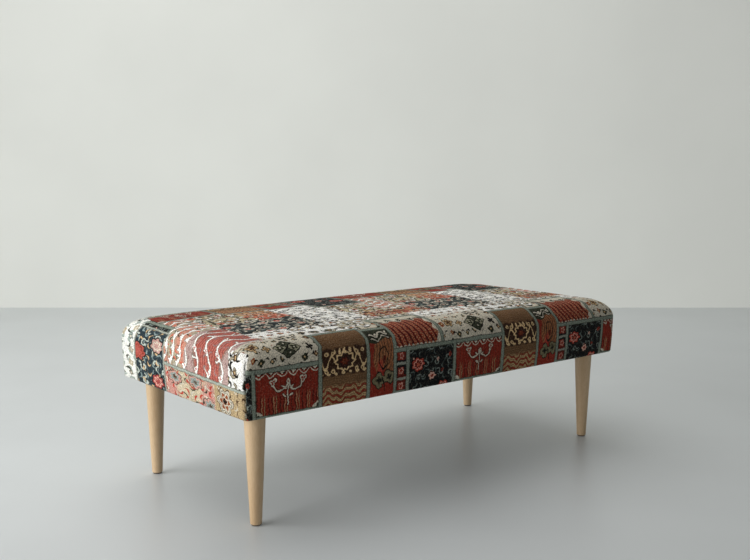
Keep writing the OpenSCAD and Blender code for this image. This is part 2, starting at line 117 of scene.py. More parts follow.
def ring_place(u, v, big_u, big_v, s, off, draw):
    """Where the point (u, v) of the flat cloth's square ring lies on the body's rounded ring at the length s."""
    inset, r, level, share = profile(s, off, draw)
    a, b = HALF_L - inset, HALF_W - inset
    across = np.abs(v) >= big_v - 1e-9
    main, other = np.where(across, np.abs(u), np.abs(v)), np.where(across, big_u, big_v)
    half = np.where(across, a, b)
    e = other - main
    q = np.minimum(np.maximum(r, 1e-6), other * 0.9)
    turn = math.pi / 4 * (1 - np.clip(e / q, 0, 1))
    straight = main * (half - r) / np.maximum(other - q, 1e-6)
    along = np.where(e < q, half - r + r * np.sin(turn), straight)
    out = np.where(across, b, a) - r + r * np.cos(turn)
    x = np.sign(u) * np.where(across, along, out)
    y = np.sign(v) * np.where(across, out, along)
    return np.stack([x, y, level + share * crown(x, y)], -1)


def pairs(count_a, count_b):
    """Every pair of whole numbers below these two counts, as two flat arrays."""
    a, b = np.meshgrid(np.arange(count_a), np.arange(count_b), indexing="ij")
    return a.ravel(), b.ravel()


def eased(share):
    """A share from 0 to 1 that starts and ends gently."""
    return share * share * (3 - 2 * share)


def steps_in():
    """Distances in from the corner fold to the grid's lines: close beside the fold, wider further in."""
    close = [0, 1.0, 2.0, 3.2, 4.6, 6.4, 8.8, 12, 16, 21]
    far = np.linspace(21 * MM, FLAT_W + MID_EDGE, 44)
    return np.concatenate([np.array(close) * MM, far[1:]])


class Skin:
    """A grid over the whole body: the seat down to the middle of the rounded edge, then rows down to the hem."""

    def __init__(self, insets, middle_steps, rows):
        half_u, half_v = FLAT_L + MID_EDGE, FLAT_W + MID_EDGE
        self.half_u, self.half_v = half_u, half_v
        self.v = np.concatenate([-half_v + insets, (half_v - insets)[-2::-1]])
        middle = np.linspace(-half_u + insets[-1], half_u - insets[-1], middle_steps + 1)
        self.u = np.concatenate([-half_u + insets[:-1], middle, (half_u - insets)[-2::-1]])
        self.nu, self.nv = len(self.u) - 1, len(self.v) - 1
        self.insets = insets
        self.rows = np.asarray(rows)
        nu, nv = self.nu, self.nv
        walk = [(i, 0) for i in range(nu)] + [(nu, j) for j in range(nv)]
        walk += [(i, nv) for i in range(nu, 0, -1)] + [(0, j) for j in range(nv, 0, -1)]
        self.rim = np.array(walk)
        self.rim_u, self.rim_v = self.u[self.rim[:, 0]], self.v[self.rim[:, 1]]
        self.top_count = (nu + 1) * (nv + 1)

    def flat(self):
        """Cloth coordinates and skin length of every point: the seat's, then each row's."""
        gu, gv = np.meshgrid(self.u, self.v, indexing="ij")
        depth = np.minimum(self.half_u - np.abs(gu), self.half_v - np.abs(gv))
        s = MID_EDGE - depth
        rim_s = np.repeat(self.rows, len(self.rim))
        u = np.concatenate([gu.ravel(), np.tile(self.rim_u, len(self.rows))])
        v = np.concatenate([gv.ravel(), np.tile(self.rim_v, len(self.rows))])
        return u, v, np.concatenate([s.ravel(), rim_s])

    def places(self, off, draw=DRAW_IN):
        u, v, s = self.flat()
        grow = np.minimum(s, MID_EDGE)
        return ring_place(u, v, FLAT_L + grow, FLAT_W + grow, s, off, draw)

    def rim_way(self):
        """Length along the rim to each of its points, and to the first one again."""
        steps_u = np.abs(np.diff(self.rim_u, append=self.rim_u[0]))
        steps_v = np.abs(np.diff(self.rim_v, append=self.rim_v[0]))
        return np.concatenate([[0], np.cumsum(steps_u + steps_v)])

    def number(self, i, j):
        return i * (self.nv + 1) + j

    def row_number(self, m, p):
        n = len(self.rim)
        rim = self.number(self.rim[p % n, 0], self.rim[p % n, 1])
        return np.where(m == 0, rim, self.top_count + (m - 1) * n + p % n)

    def faces(self):
        """Quads with outward faces, and the cloth coordinates of each one's corners."""
        i, j = pairs(self.nu, self.nv)
        corners = [(i, j), (i + 1, j), (i + 1, j + 1), (i, j + 1)]
        quads = np.stack([self.number(a, b) for a, b in corners], -1)
        cloth = np.stack([np.stack([self.u[a], -self.v[b]], -1) for a, b in corners], 1)
        n = len(self.rim)
        m, p = pairs(len(self.rows), n)
        corners = [(m, p), (m + 1, p), (m + 1, p + 1), (m, p + 1)]
        bands = np.stack([self.row_number(a, b) for a, b in corners], -1)
        levels = np.concatenate([[MID_EDGE], self.rows])
        first = np.cumsum([0, self.nu, self.nv, self.nu, self.nv])
        piece = np.searchsorted(first, p, side="right") - 1
        along_u = np.append(self.rim_u, self.rim_u[0])
        along_v = np.append(self.rim_v, self.rim_v[0])
        cloths = []
        for a, b in corners:
            out, x, y = levels[a], along_u[b], along_v[b]
            sides = [(x, FLAT_W + out), (FLAT_L + out, -y), (x, -FLAT_W - out), (-FLAT_L - out, -y)]
            cloths.append(np.stack([np.choose(piece, choice) for choice in zip(*sides)], -1))
        return np.concatenate([quads, bands]), np.concatenate([cloth, np.stack(cloths, 1)])


def new_mesh(name, points, faces, cloth=None, smooth=True):
    mesh = bpy.data.meshes.new(name)
    mesh.from_pydata(points.tolist(), [], faces if isinstance(faces, list) else faces.tolist())
    if cloth is not None:
        layer = mesh.uv_layers.new(name="cloth")
        layer.data.foreach_set("uv", np.asarray(cloth, np.float32).ravel())
    if smooth:
        mesh.shade_smooth()
    mesh.update()
    obj = bpy.data.objects.new(name, mesh)
    scene.collection.objects.link(obj)
    return obj


def outward(points, faces):
    """Unit normals of the points of a skin of quads."""
    a, b = points[faces[:, 2]] - points[faces[:, 0]], points[faces[:, 3]] - points[faces[:, 1]]
    face = np.cross(a, b)
    normals = np.zeros_like(points)
    for k in range(4):
        np.add.at(normals, faces[:, k], face)
    return normals / np.maximum(np.linalg.norm(normals, axis=1, keepdims=True), 1e-12)


def rows_between(ends, steps):
    """Lengths along the skin of the rows past the first end, in so many even steps to each next one."""
    return np.concatenate([np.linspace(a, b, n + 1)[1:] for a, b, n in zip(ends, ends[1:], steps)])


def cover_rows():
    """The rows of the rounded edge, the sides, the bend and the hem."""
    ends = [MID_EDGE, ARC, ARC + SIDE, ARC + SIDE + BEND, ARC + SIDE + BEND + TURN_IN]
    return rows_between(ends, (6, 16, 4, 3))


def waves(rng, u, v, count, low, high):
    """Waves across the cloth in random directions, each with its wave number in radians per metre."""
    for _ in range(count):
        k, turn, phase = rng.uniform(low, high), rng.uniform(0, 2 * math.pi), rng.uniform(0, 2 * math.pi)
        yield k, np.sin(k * (u * math.cos(turn) + v * math.sin(turn)) + phase)


# The cover's unevenness: wave numbers in radians per metre, sizes in millimetres; and its corner groove and lip
SOFT_WAVES = 26
SOFT_RANGE = 12, 60
SOFT_SIZE = 0.10, 0.26
HEM_PULLS = 16
PULL_RANGE = 40, 150
PULL_SIZE = 0.05, 0.16
GROOVE_DEPTH = 1.5 * MM
GROOVE_WIDTH = 2.2 * MM
LIP_HEIGHT = 0.9 * MM
LIP_PLACE = 7 * MM
LIP_WIDTH = 5 * MM


def relief(u, v, s, skin):
    """How far the cover swells out, in metres: soft unevenness, pulls at the hem and a folded corner."""
    rng = np.random.default_rng(7)
    swell = np.zeros_like(u)
    along = np.where(np.abs(v) >= skin.half_v - 1e-9, u, v + 3.1)
    for k, wave in waves(rng, u, v, SOFT_WAVES, *SOFT_RANGE):
        swell += wave * rng.uniform(*SOFT_SIZE) * MM * 14 / (14 + k * 0.25)
    below = np.clip((s - ARC * 0.75) / (SIDE * 0.9), 0, 1)
    for _ in range(HEM_PULLS):
        k, phase, slant = rng.uniform(*PULL_RANGE), rng.uniform(0, 2 * math.pi), rng.uniform(-0.5, 0.5)
        wave = np.sin(k * (along + slant * s) + phase)
        swell += wave * rng.uniform(*PULL_SIZE) * MM * below**1.5
    fold = np.maximum(skin.half_u - np.abs(u), skin.half_v - np.abs(v))
    ease = eased(np.clip((s - ARC * 0.62) / (ARC * 0.4), 0, 1))
    swell -= GROOVE_DEPTH * ease * np.exp(-((fold / GROOVE_WIDTH) ** 2))
    swell += LIP_HEIGHT * ease * np.exp(-(((fold - LIP_PLACE) / LIP_WIDTH) ** 2))
    calm = np.clip((ARC + SIDE + BEND * 1.2 - s) / BEND, 0, 1)
    return swell * calm


# Colour shades, given as they look on a screen, for sockets that work in linear light
def shade(red, green, blue):
    def linear(c):
        c /= 255
        return c / 12.92 if c <= 0.04045 else ((c + 0.055) / 1.055) ** 2.4

    return (linear(red), linear(green), linear(blue), 1.0)


class Value:
    """A number in a material's nodes, which sums and products can be written with."""

    def __init__(self, ink, out):
        self.ink = ink
        self.out = out

    def __add__(self, other):
        return step("ADD", self, other)

    __radd__ = __add__

    def __sub__(self, other):
        return step("SUBTRACT", self, other)

    def __rsub__(self, other):
        return step("SUBTRACT", other, self)

    def __mul__(self, other):
        return step("MULTIPLY", self, other)

    __rmul__ = __mul__

    def __truediv__(self, other):
        return step("DIVIDE", self, other)

    def __neg__(self):
        return step("MULTIPLY", self, -1.0)

    def __abs__(self):
        return step("ABSOLUTE", self)


class Mask(Value):
    """A share of cover that may run past 0 and 1, which mixing colours cuts off by itself."""

    def firm(self):
        return self.ink.once(("firm", self), lambda: self.ink.one("ShaderNodeClamp", self))


class Ink:
    """Makes nodes in one tree, and no step of its sums twice."""

    def __init__(self, tree):
        self.tree = tree
        self.made = {}

    def once(self, key, make):
        if key not in self.made:
            self.made[key] = make()
        return self.made[key]

    def put(self, value, socket):
        if isinstance(value, Value):
            self.tree.links.new(value.out, socket)
        else:
            socket.default_value = value

    def feed(self, node, **values):
        """Values for the inputs of these names, with _ for each space in them."""
        for name, value in values.items():
            self.put(value, node.inputs[name.replace("_", " ")])

    def node(self, kind, **settings):
        made = self.tree.nodes.new(kind)
        for name, value in settings.items():
            setattr(made, name, value)
        return made

    def one(self, kind, *values, **settings):
        """A node's first output, its first inputs being these values."""
        made = self.node(kind, **settings)
        for value, socket in zip(values, made.inputs):
            self.put(value, socket)
        return Value(self, made.outputs[0])

    def math(self, operation, *values):
        values = [value.firm() if isinstance(value, Mask) else value for value in values]
        make = functools.partial(self.one, "ShaderNodeMath", *values, operation=operation)
        return self.once((operation, *values), make)

    def over(self, canvas, colour, mask, blend="MIX"):
        made = self.node("ShaderNodeMix", data_type="RGBA", blend_type=blend)
        for value, socket in zip((mask, canvas, colour), (made.inputs[k] for k in (0, 6, 7))):
            self.put(value, socket)
        return Value(self, made.outputs[2])

    def ramp(self, value, *stops):
        made = self.node("ShaderNodeValToRGB")
        for element, (place, colour) in zip(made.color_ramp.elements, stops):
            element.position = place
            element.color = colour
        self.put(value, made.inputs[0])
        return Value(self, made.outputs[0])

    def vector(self, x, y, z=0.0):
        return self.one("ShaderNodeCombineXYZ", x, y, z)

    def parts(self, value, kind="XYZ"):
        """The three numbers of a vector, or of a colour where kind is Color."""
        made = self.node("ShaderNodeSeparate" + kind)
        self.put(value, made.inputs[0])
        return [Value(self, out) for out in made.outputs]

    def given(self, kind, output, **settings):
        """An output, by its name or number, of a node that takes no inputs."""
        return Value(self, self.node(kind, **settings).outputs[output])

    def noise(self, vector, scale, detail=2.0, roughness=0.5, coloured=False, space="3D"):
        made = self.node("ShaderNodeTexNoise", noise_dimensions=space)
        self.feed(made, Vector=vector, Scale=scale, Detail=detail, Roughness=roughness)
        return Value(self, made.outputs[1 if coloured else 0])

    def bump(self, shader, height, strength, distance):
        made = self.node("ShaderNodeBump")
        self.feed(made, Height=height, Strength=strength, Distance=distance)
        self.feed(shader, Normal=Value(self, made.outputs[0]))

    def chance(self, x, y):
        """Three random numbers for each whole pair x, y."""
        seed = times_plus(y, 131.7, x * 7.13)

        def make():
            made = self.node("ShaderNodeTexWhiteNoise", noise_dimensions="1D")
            self.feed(made, W=seed)
            return self.parts(Value(self, made.outputs["Color"]), "Color")

        return self.once(("chance", seed), make)


def step(operation, *values):
    """One step of a sum, in the tree that its values belong to."""
    ink = next(value.ink for value in values if isinstance(value, Value))
    return ink.math(operation, *values)


def times_plus(a, factor, added):
    return step("MULTIPLY_ADD", a, factor, added)


def least(a, *others):
    for b in others:
        a = step("MINIMUM", a, b)
    return a


def most(a, *others):
    for b in others:
        a = step("MAXIMUM", a, b)
    return a


def sine(a):
    return step("SINE", a)


def cosine(a):
    return step("COSINE", a)


def cell(a, pitch):
    """a, started again every pitch, from minus half to half of it."""
    return step("WRAP", a, pitch / 2, -pitch / 2)


def to_and_fro(a, reach):
    return step("PINGPONG", a, reach)


def length(x, y):
    return step("SQRT", times_plus(x, x, y * y))


def angle(x, y):
    return step("ARCTAN2", y, x)


def within(distance, soft=0.9):
    """1 where the distance is below zero and 0 where it is above, with a soft edge."""
    share = times_plus(distance, -1.0 / soft, 0.5)
    return share.ink.once(("within", share), lambda: Mask(share.ink, share.out))


# Dyes of the patchwork
SLATE = shade(132, 142, 130)
# Painted light: a paler copy of the band, laid only on the left end, which faces the window
PAINTED_LIGHT_SLATE = shade(166, 174, 163)
SEAM = shade(66, 70, 61)
# Painted light: a paler copy of the seam, laid only on the left end, which faces the window
PAINTED_LIGHT_SEAM = shade(112, 112, 102)
CREAM = shade(209, 202, 184)
CHALK = shade(246, 245, 240)
STONE = shade(176, 165, 142)
OLIVE = shade(112, 104, 74)
MOSS = shade(46, 50, 37)
NAVY = shade(17, 21, 24)
COAL = shade(14, 13, 13)
RED = shade(140, 48, 35)
DEEP_RED = shade(88, 28, 22)
ROSE = shade(184, 68, 56)
CORAL = shade(206, 104, 82)
PINK = shade(228, 180, 162)
MAUVE = shade(152, 120, 116)
RUST = shade(142, 76, 42)
TAN = shade(121, 91, 63)
BROWN = shade(78, 53, 36)
SAND = shade(208, 176, 130)
TEAL = shade(118, 130, 125)
GREY = shade(114, 110, 94)


def flower(x, y, radius, petals=6, depth=0.22, turn=0.0):
    """Distance outside a flower with round petals."""
    wave = abs(cosine(times_plus(angle(x, y), petals / 2, turn)))
    return length(x, y) - times_plus(wave, radius * depth * 2, radius * (1 - depth * 1.27))


def ring(x, y, radius, thick):
    """Distance outside a round line."""
    return abs(length(x, y) - radius) - thick


def scattered(x, y, pitch, stray):
    """Cells of a scatter: place in the turned cell from a strayed middle, and three random numbers."""
    row = step("FLOOR", y / pitch)
    x = times_plus(row, pitch * 0.47, x)
    column = step("FLOOR", x / pitch)
    chance = x.ink.chance(column, row)
    cx = times_plus(column, -pitch, x) - pitch / 2
    cy = times_plus(row, -pitch, y) - pitch / 2
    cx = cx + (chance[0] - 0.5) * (pitch * stray)
    cy = cy + (chance[1] - 0.5) * (pitch * stray)
    a = chance[2] * (2 * math.pi)
    c, s = cosine(a), sine(a)
    return cx * c - cy * s, cx * s + cy * c, chance


def branches(x, y, pitch, bow, thick):
    """Distance outside stems that wind along y, and outside the knots where side shoots leave."""
    stem = abs(cell(x + bow, pitch)) - thick
    shoot = abs(cell(y + sine(x * 0.07) * 11.0 + x * 0.55, pitch * 1.15)) - thick * 0.75
    shoot = most(shoot, abs(cell(x + bow + pitch * 0.2, pitch)) - pitch * 0.24)
    knot = flower(cell(x + bow + 4.0, pitch), cell(y + 13.0, pitch * 0.9), thick * 2.3, 4, 0.45)
    return least(stem, shoot, knot), knot


class Art:
    """Dyes laid over one another on a ground, at the place x, y in millimetres from the middle."""

    def __init__(self, ink, x, y):
        self.ink, self.x, self.y = ink, x, y
        self.colour = None

    def lay(self, dye, distance, soft=0.9, *shares):
        """A dye where the distance is below zero: soft is the width of its edge, and shares thin it."""
        mask = within(distance, soft)
        for share in shares:
            mask = mask * share
        self.colour = self.ink.over(self.colour, dye, mask)

    def nest(self, distance, *dyes):
        """Dyes over one another, each with how far inside the distance's edge it begins."""
        for dye, inset in dyes:
            self.lay(dye, distance + inset if inset else distance)

    def flowers(self, pitch, radius, dyes, petals, heart, shift=0.0):
        """Flowers strewn about, each in one of three dyes."""
        cx, cy, chance = scattered(self.x + shift if shift else self.x, self.y, pitch, 0.35)
        size = times_plus(chance[2], radius * 0.7, radius * 0.55)
        colour = dyes[0]
        for dye, number, rarity in ((dyes[1], 0, 0.38), (dyes[2], 1, 0.66)):
            colour = self.ink.over(colour, dye, step("GREATER_THAN", chance[number], rarity))
        self.lay(colour, flower(cx, cy, radius, petals) - (size - radius))
        self.lay(heart, length(cx, cy) - radius * 0.35)

    def leaves(self, pitch, long, wide, dye, seed=0.0):
        """Curved leaves strewn about."""
        cx, cy, _ = scattered(self.x + seed * 17.3, self.y - seed * 11.9, pitch, 0.4)
        bow = times_plus(cx * cx, 0.9 / long, cy - long * 0.2)
        self.lay(dye, length(cx / long, bow / wide) - 1.0, 0.9 / wide)

    def scrolls(self, pitch, radius, thick, dye, edge):
        """Open curls strewn about, outlined."""
        cx, cy, _ = scattered(self.x, self.y, pitch, 0.35)
        curl = most(ring(cx, cy, radius, thick), cx * 0.8 + cy - radius * 0.5)
        tail = ring(cx - radius * 1.7, cy + radius * 0.3, radius * 0.8, thick * 0.9)
        tail = most(tail, -cy - radius * 0.1)
        knob = length(cx + radius * 0.2, cy - radius * 0.75) - thick * 1.7
        self.nest(least(curl, tail, knob), (edge, -1.7), (dye, 0))


# Each painter draws one patch: bare numbers in it are millimetres on the cloth, or shares of a dye
def patch_red_scroll(art, x, y):
    """Dark red, with a plant of two curled branches under a scalloped edge and upright ribs below."""
    art.colour = RED
    low = within(6.0 - y, 9.0)
    rib = to_and_fro(x + sine(y * 0.08) * 1.5, 4.6)
    art.lay(shade(62, 18, 15), rib - 1.4, 1.6, times_plus(low, 0.5, 0.4))
    art.lay(SAND, abs(to_and_fro(x + 4.0, 13.8) - 3.0) - 0.8, 1.0, low, 0.6)
    mx = abs(x + y * 0.04)
    scallop = abs(sine(x * 0.115)) * 11.0
    art.lay(COAL, y + 49 - scallop, 1.6)
    art.lay(CREAM, abs(y + 44 - scallop) - 1.3)
    art.lay(CREAM, flower(cell(x + 13.6, 27.3), y + 43, 4.0, 4, 0.4))
    branch = most(ring(mx / 1.25 - 15, y + 16, 13.0, 1.2), -y - 18.0)
    frond = length((mx - 9) / 1.8, y + 4 + mx * 0.6) - 2.6
    blossom = flower(mx - 37, y + 23, 7.0, 3, 0.45, 0.6)
    stem = most(abs(x + y * 0.04) - 1.2, abs(y - 8) - 22)
    bud = length(mx * 1.3, y + 21) - 5.5
    leaf = length((mx - 8) / 1.6, y - 12 + mx * 0.5) - 2.4
    art.nest(least(branch, frond, blossom, stem, bud, leaf), (DEEP_RED, -2.2), (CREAM, 0))
    art.lay(RED, least(blossom, bud) + 3.4)
    art.lay(CREAM, length((mx - 80) / 1.5, y - 46) - 13)
    art.lay(MOSS, flower(mx - 76, y - 44, 6.0, 4, 0.4))


def patch_cartouche(art, x, y):
    """Heathered tan, with a dark band across that carries a mirrored cartouche."""
    art.colour = TAN
    art.lay(BROWN, to_and_fro(y, 2.6) - 1.0, 1.4, 0.5)
    rise = y + 15
    art.lay(shade(58, 36, 26), abs(rise + sine(x * 0.24) * 1.6) - 29, 3.0)
    mx = abs(x)
    scallops = cosine(angle(mx / 1.35, rise) * 9.0)
    heart = length(mx / 1.35, rise) - times_plus(scallops, 2.0, 15.5)
    gold = shade(226, 194, 146)
    art.nest(heart, (gold, -4.0), (shade(52, 30, 24), 0))
    inner = flower(mx / 1.25, rise, 7.5, 6, 0.3)
    art.lay(DEEP_RED, inner)
    art.lay(RUST, abs(inner + 4.5) - 1.0)
    vine = most(abs(rise + sine((mx - 26) * 0.19) * 14.0) - 2.9, 27 - mx)
    leaf = most(length(cell(mx - 31, 16.5) / 1.1, abs(rise) - 19) - 4.2, 24 - mx)
    crest = most(length(cell(x, 13.5), (rise + 22) / 1.7) - 2.9, mx - 27)
    foot = length(cell(x + 5.0, 19.0) / 1.4, rise - 24) - 2.7
    art.lay(gold, least(vine, leaf, crest, foot) - 0.5)
    art.lay(BROWN, leaf + 2.2)
    wave = to_and_fro(y + (sine(x * 0.11) * 5.0 + sine(x * 0.27 + 1.0) * 3.0), 7.0)
    low = within(37 - y, 10.0)
    art.lay(RED, wave - 2.2, 2.0, low)
    art.lay(SAND, abs(wave - 5.2) - 1.0, 0.9, low, 0.9)


def patch_teardrop(art, x, y):
    """Red and brown, with a veined teardrop, two olive-grey lobed flowers and cream wavy lines on top."""
    art.colour = shade(160, 104, 70)
    veins = to_and_fro(x * 1.1 + y * 0.22 + sine(y * 0.06) * 6.0, 4.5)
    art.lay(BROWN, veins - 1.6, 1.6, 0.9)
    art.lay(RED, least(x + 20 - sine(y * 0.07) * 5.0, 3 - y + abs(x) * 0.35), 3.0)
    art.lay(ROSE, length((x + 4) / 0.7, (y - 1) / 1.5) - 12, 8.0, 0.8)
    drop = length((x - 5) / 0.75, (y + 24) / 1.4) - 17 + (y + 24) * -0.12
    art.lay(COAL, abs(drop) - 1.5)
    art.lay(DEEP_RED, length(x - 7, (y + 16) / 1.7) - 5)
    left, right = (x + 8, y - 30), (x - 20, y - 25)
    petal = least(flower(*left, 16.0, 4, 0.22), flower(*right, 14.0, 4, 0.22, 0.8))
    art.nest(petal, (COAL, -2.6), (shade(124, 117, 90), 0))
    art.lay(MOSS, petal + 8, 0.9, 0.7)
    stalk = most(abs(x - 3 - (y - 30) * 0.3) - 1.5, abs(y - 40) - 16)
    art.lay(COAL, least(flower(*left, 5.0, 4, 0.5), flower(*right, 4.5, 4, 0.5, 0.8), stalk))
    top = y + 74 + x * 0.18
    art.lay(MOSS, top - 15 + sine(x * 0.12) * 3.0, 2.0)
    wave = abs(top + 2.0 + sine(x * 0.19) * 5.5) - 2.1
    twin = abs(top - 8.5 + sine(x * 0.19) * 5.5) - 1.3
    leaf = length(cell(x + 8.0, 33.0) / 1.7, top + 3.0) - 3.0
    art.nest(most(least(wave, twin, leaf), abs(x) - 27), (COAL, -2.4), (CREAM, 0))


def patch_ladder(art, x, y):
    """A narrow strip of red and dark blocks between pale bars."""
    art.colour = art.ink.over(DEEP_RED, NAVY, step("GREATER_THAN", cell(y + 26.0, 70.0), 0.0))
    art.lay(RED, most(abs(x + 2) - 9, abs(cell(y, 35.0)) - 9))
    art.lay(PINK, abs(flower(x, cell(y, 35.0), 5.5, 5, 0.3)) - 0.9)
    art.lay(shade(150, 154, 142), abs(cell(y + 17.5, 35.0)) - 3.2)


def patch_navy_flowers(art, x, y):
    """Near-black navy, full of leaves, with large rose-red flowers."""
    art.colour = NAVY
    art.lay(COAL, to_and_fro(x + y, 7.0) - 2.4, 2.0, 0.6)
    art.leaves(21.0, 8.0, 1.7, shade(92, 104, 100))
    art.scrolls(33.0, 6.0, 1.3, shade(128, 138, 132), COAL)
    art.flowers(37.0, 4.6, (PINK, TEAL, RED), 5, COAL)
    big = least(flower((x + 42) / 1.3, y + 46, 14.5, 7, 0.14), flower((x - 38) / 1.3, y - 16, 13.5, 6, 0.16))
    art.nest(big, (COAL, -3.4), (ROSE, 0))
    art.lay(PINK, abs(big + 4.6) - 1.0)
    art.nest(big, (DEEP_RED, 7.0), (CORAL, 11.0))
    art.nest(flower((x - 2) / 1.2, y + 14, 8.5, 6, 0.16), (COAL, -2.4), (PINK, 0), (RED, 4.4))


def patch_blue_scrolls(art, x, y):
    """Navy with pale curls and leaves, and few red flowers."""
    art.colour = shade(26, 34, 38)
    art.leaves(25.0, 11.0, 3.0, TEAL)
    art.scrolls(41.0, 10.0, 2.6, CREAM, COAL)
    art.leaves(33.0, 10.0, 2.8, CREAM, 2.0)
    art.flowers(43.0, 9.0, (RED, COAL, ROSE), 6, PINK)


def patch_end_navy(art, x, y):
    """Blue-grey navy with pale crescents and three wide flowers."""
    art.colour = shade(38, 54, 62)
    art.y = wide = y * 0.6
    art.leaves(19.0, 8.0, 2.4, shade(128, 146, 146))
    art.scrolls(31.0, 7.0, 2.0, shade(186, 196, 188), NAVY)
    art.leaves(23.0, 6.0, 2.0, SAND, 3.0)
    for cx, cy, size, dye, heart in (
        (32.0, -53.5, 19.0, shade(172, 84, 74), RED),
        (58.0, 38.5, 15.0, shade(190, 150, 140), CREAM),
        (-25.0, 35.0, 15.0, shade(160, 68, 66), PINK),
    ):
        bloom = flower(x - cx, wide - cy * 0.6, size, 7, 0.16)
        art.nest(bloom, (NAVY, -3.0), (dye, 0))
        art.lay(heart, abs(bloom + 6.0) - 1.6)


def patch_end_white(art, x, y):
    """White with faint grey-green leaves and a few dark ones."""
    art.colour = shade(232, 233, 226)
    art.y = y * 0.6
    art.leaves(23.0, 11.0, 4.4, shade(160, 172, 164))
    art.flowers(29.0, 8.0, (TEAL, STONE, GREY), 4, CREAM)
    art.leaves(31.0, 9.0, 2.6, MOSS, 2.0)


def patch_lozenge(art, x, y):
    """Cream, painted whiter in chalk as painted light where it runs onto the seat's top, with a quartered lozenge,
    crosses, bow-ties and small flowers.
    """
    art.colour = CREAM
    # Painted light: the far part of the patch, up on the seat's top, is laid whiter in chalk than the part down the
    # front
    art.lay(CHALK, y + 22.0, 40.0)
    art.flowers(26.0, 6.6, (BROWN, MOSS, RUST), 4, SAND, shift=5.0)
    art.leaves(24.0, 5.5, 2.2, COAL, 4.0)
    lx, ly = (x - 22) / 1.35, y - 42
    a, b = lx + ly, lx - ly
    art.nest(most(abs(a), abs(b)) - 27, (CREAM, -6), (COAL, 0))
    qa, qb = abs(a) - 13, abs(b) - 13
    quarter = Art(art.ink, qa, qb)
    side = step("GREATER_THAN", a * b, 0.0)
    quarter.colour = art.ink.over(shade(62, 68, 54), shade(158, 156, 132), side)
    quarter.lay(MOSS, flower(qa, qb, 8.0, 4, 0.35))
    quarter.lay(CREAM, length(qa - 1.5, qb + 1.0) - 2.6)
    art.lay(quarter.colour, most(abs(qa), abs(qb)) - 11.2)
    bx, by = abs(x - 47) - 13, y - 1 + (x - 47) * 0.1
    tie = least(most(abs(by) - abs(bx) * 0.7 - 0.8, abs(bx) - 10), most(abs(bx), abs(by)) - 2.6)
    art.nest(tie, (CREAM, -3.5), (COAL, 0))
    art.lay(CREAM, length(x - 76, y - 46) - 13)
    art.lay(COAL, flower(x - 76, y - 46, 8.0, 4, 0.45, 0.7))
    posy = least(flower(x + 30, y - 40, 9.0, 4, 0.3), flower(x + 61, y - 33, 14.0, 5, 0.25))
    art.nest(posy, (CREAM, -4), (MOSS, 0), (SAND, 3), (BROWN, 6.4))


def patch_cream_field(art, x, y):
    """White, strewn with olive and brown curls and flowers."""
    art.colour = CHALK
    art.scrolls(39.0, 9.0, 2.2, STONE, MOSS)
    art.flowers(33.0, 8.5, (COAL, MOSS, BROWN), 4, SAND)
    art.leaves(30.0, 11.0, 3.4, COAL, 3.0)


def patch_red_stripes(art, x, y):
    """Red with upright ribs, between ragged cream edges."""
    art.colour = shade(142, 48, 36)
    rib = to_and_fro(x - y * 0.22 + sine(y * 0.05) * 3.0, 7.6)
    knots = sine(y * 0.9) * sine(x * 0.41) * 1.3
    art.lay(COAL, rib - 2.0, 2.4, 0.9)
    art.lay(SAND, abs(rib - 5.4) - 0.7 + knots, 1.2, 0.55)
    top = y + 26 + sine(x * 0.16) * 7.0
    art.lay(CREAM, least(top, 60 - x + sine(y * 0.2) * 5.0), 1.4)
    art.lay(COAL, abs(top + 4) - 1.4)
    art.lay(MOSS, flower(cell(x, 31.0) / 1.5, top + 12, 6.0, 4, 0.3))
    art.lay(CREAM, 58 - y + abs(to_and_fro(x, 12.0) - 6), 1.4)


def patch_olive_scroll(art, x, y):
    """Stone with large outlined cream curls."""
    art.colour = CREAM
    art.lay(STONE, to_and_fro(y, 11.0) - 4.0, 3.0, 0.8)
    art.leaves(23.0, 12.0, 3.8, MOSS)
    art.scrolls(42.0, 12.0, 3.2, CHALK, COAL)
    art.flowers(37.0, 9.0, (COAL, RUST, OLIVE), 4, SAND, shift=9.0)


def patch_white_motifs(art, x, y):
    """Chalk white, strewn with small dark squares, leaves and flowers."""
    art.colour = CHALK
    art.leaves(37.0, 13.0, 2.8, STONE, 5.0)
    art.flowers(37.0, 8.5, (COAL, MOSS, GREY), 4, CHALK)
    art.leaves(37.0, 11.0, 3.4, COAL, 1.0)
    cx, cy, _ = scattered(x + 11.0, y + 15.0, 41.0, 0.3)
    box = most(abs(cx), abs(cy)) - 7.0
    art.lay(MOSS, box)
    art.lay(CHALK, abs(box + 3.4) - 0.8)


def patch_brown_red(art, x, y):
    """Brown-red with stone-coloured leaf sprays and cream flowers."""
    art.colour = shade(172, 98, 76)
    art.lay(BROWN, to_and_fro(y + x * 0.3, 6.0) - 2.0, 1.6, 0.6)
    art.leaves(25.0, 12.0, 3.8, SAND)
    art.scrolls(42.0, 10.0, 2.8, CREAM, COAL)
    art.leaves(30.0, 13.0, 3.6, COAL, 2.0)
    art.flowers(36.0, 8.0, (CREAM, CORAL, COAL), 5, COAL)


def patch_busy_olive(art, x, y):
    """Olive and beige, closely strewn with leaves, curls and pink and dark flowers."""
    art.colour = shade(204, 192, 160)
    art.lay(OLIVE, to_and_fro(x - y, 8.0) - 3.0, 3.0, 0.5)
    art.leaves(24.0, 12.0, 3.8, MOSS)
    art.scrolls(41.0, 10.5, 2.9, CHALK, COAL)
    art.leaves(30.0, 14.0, 3.6, COAL, 1.0)
    art.flowers(35.0, 9.0, (CORAL, SAND, RUST), 5, COAL)


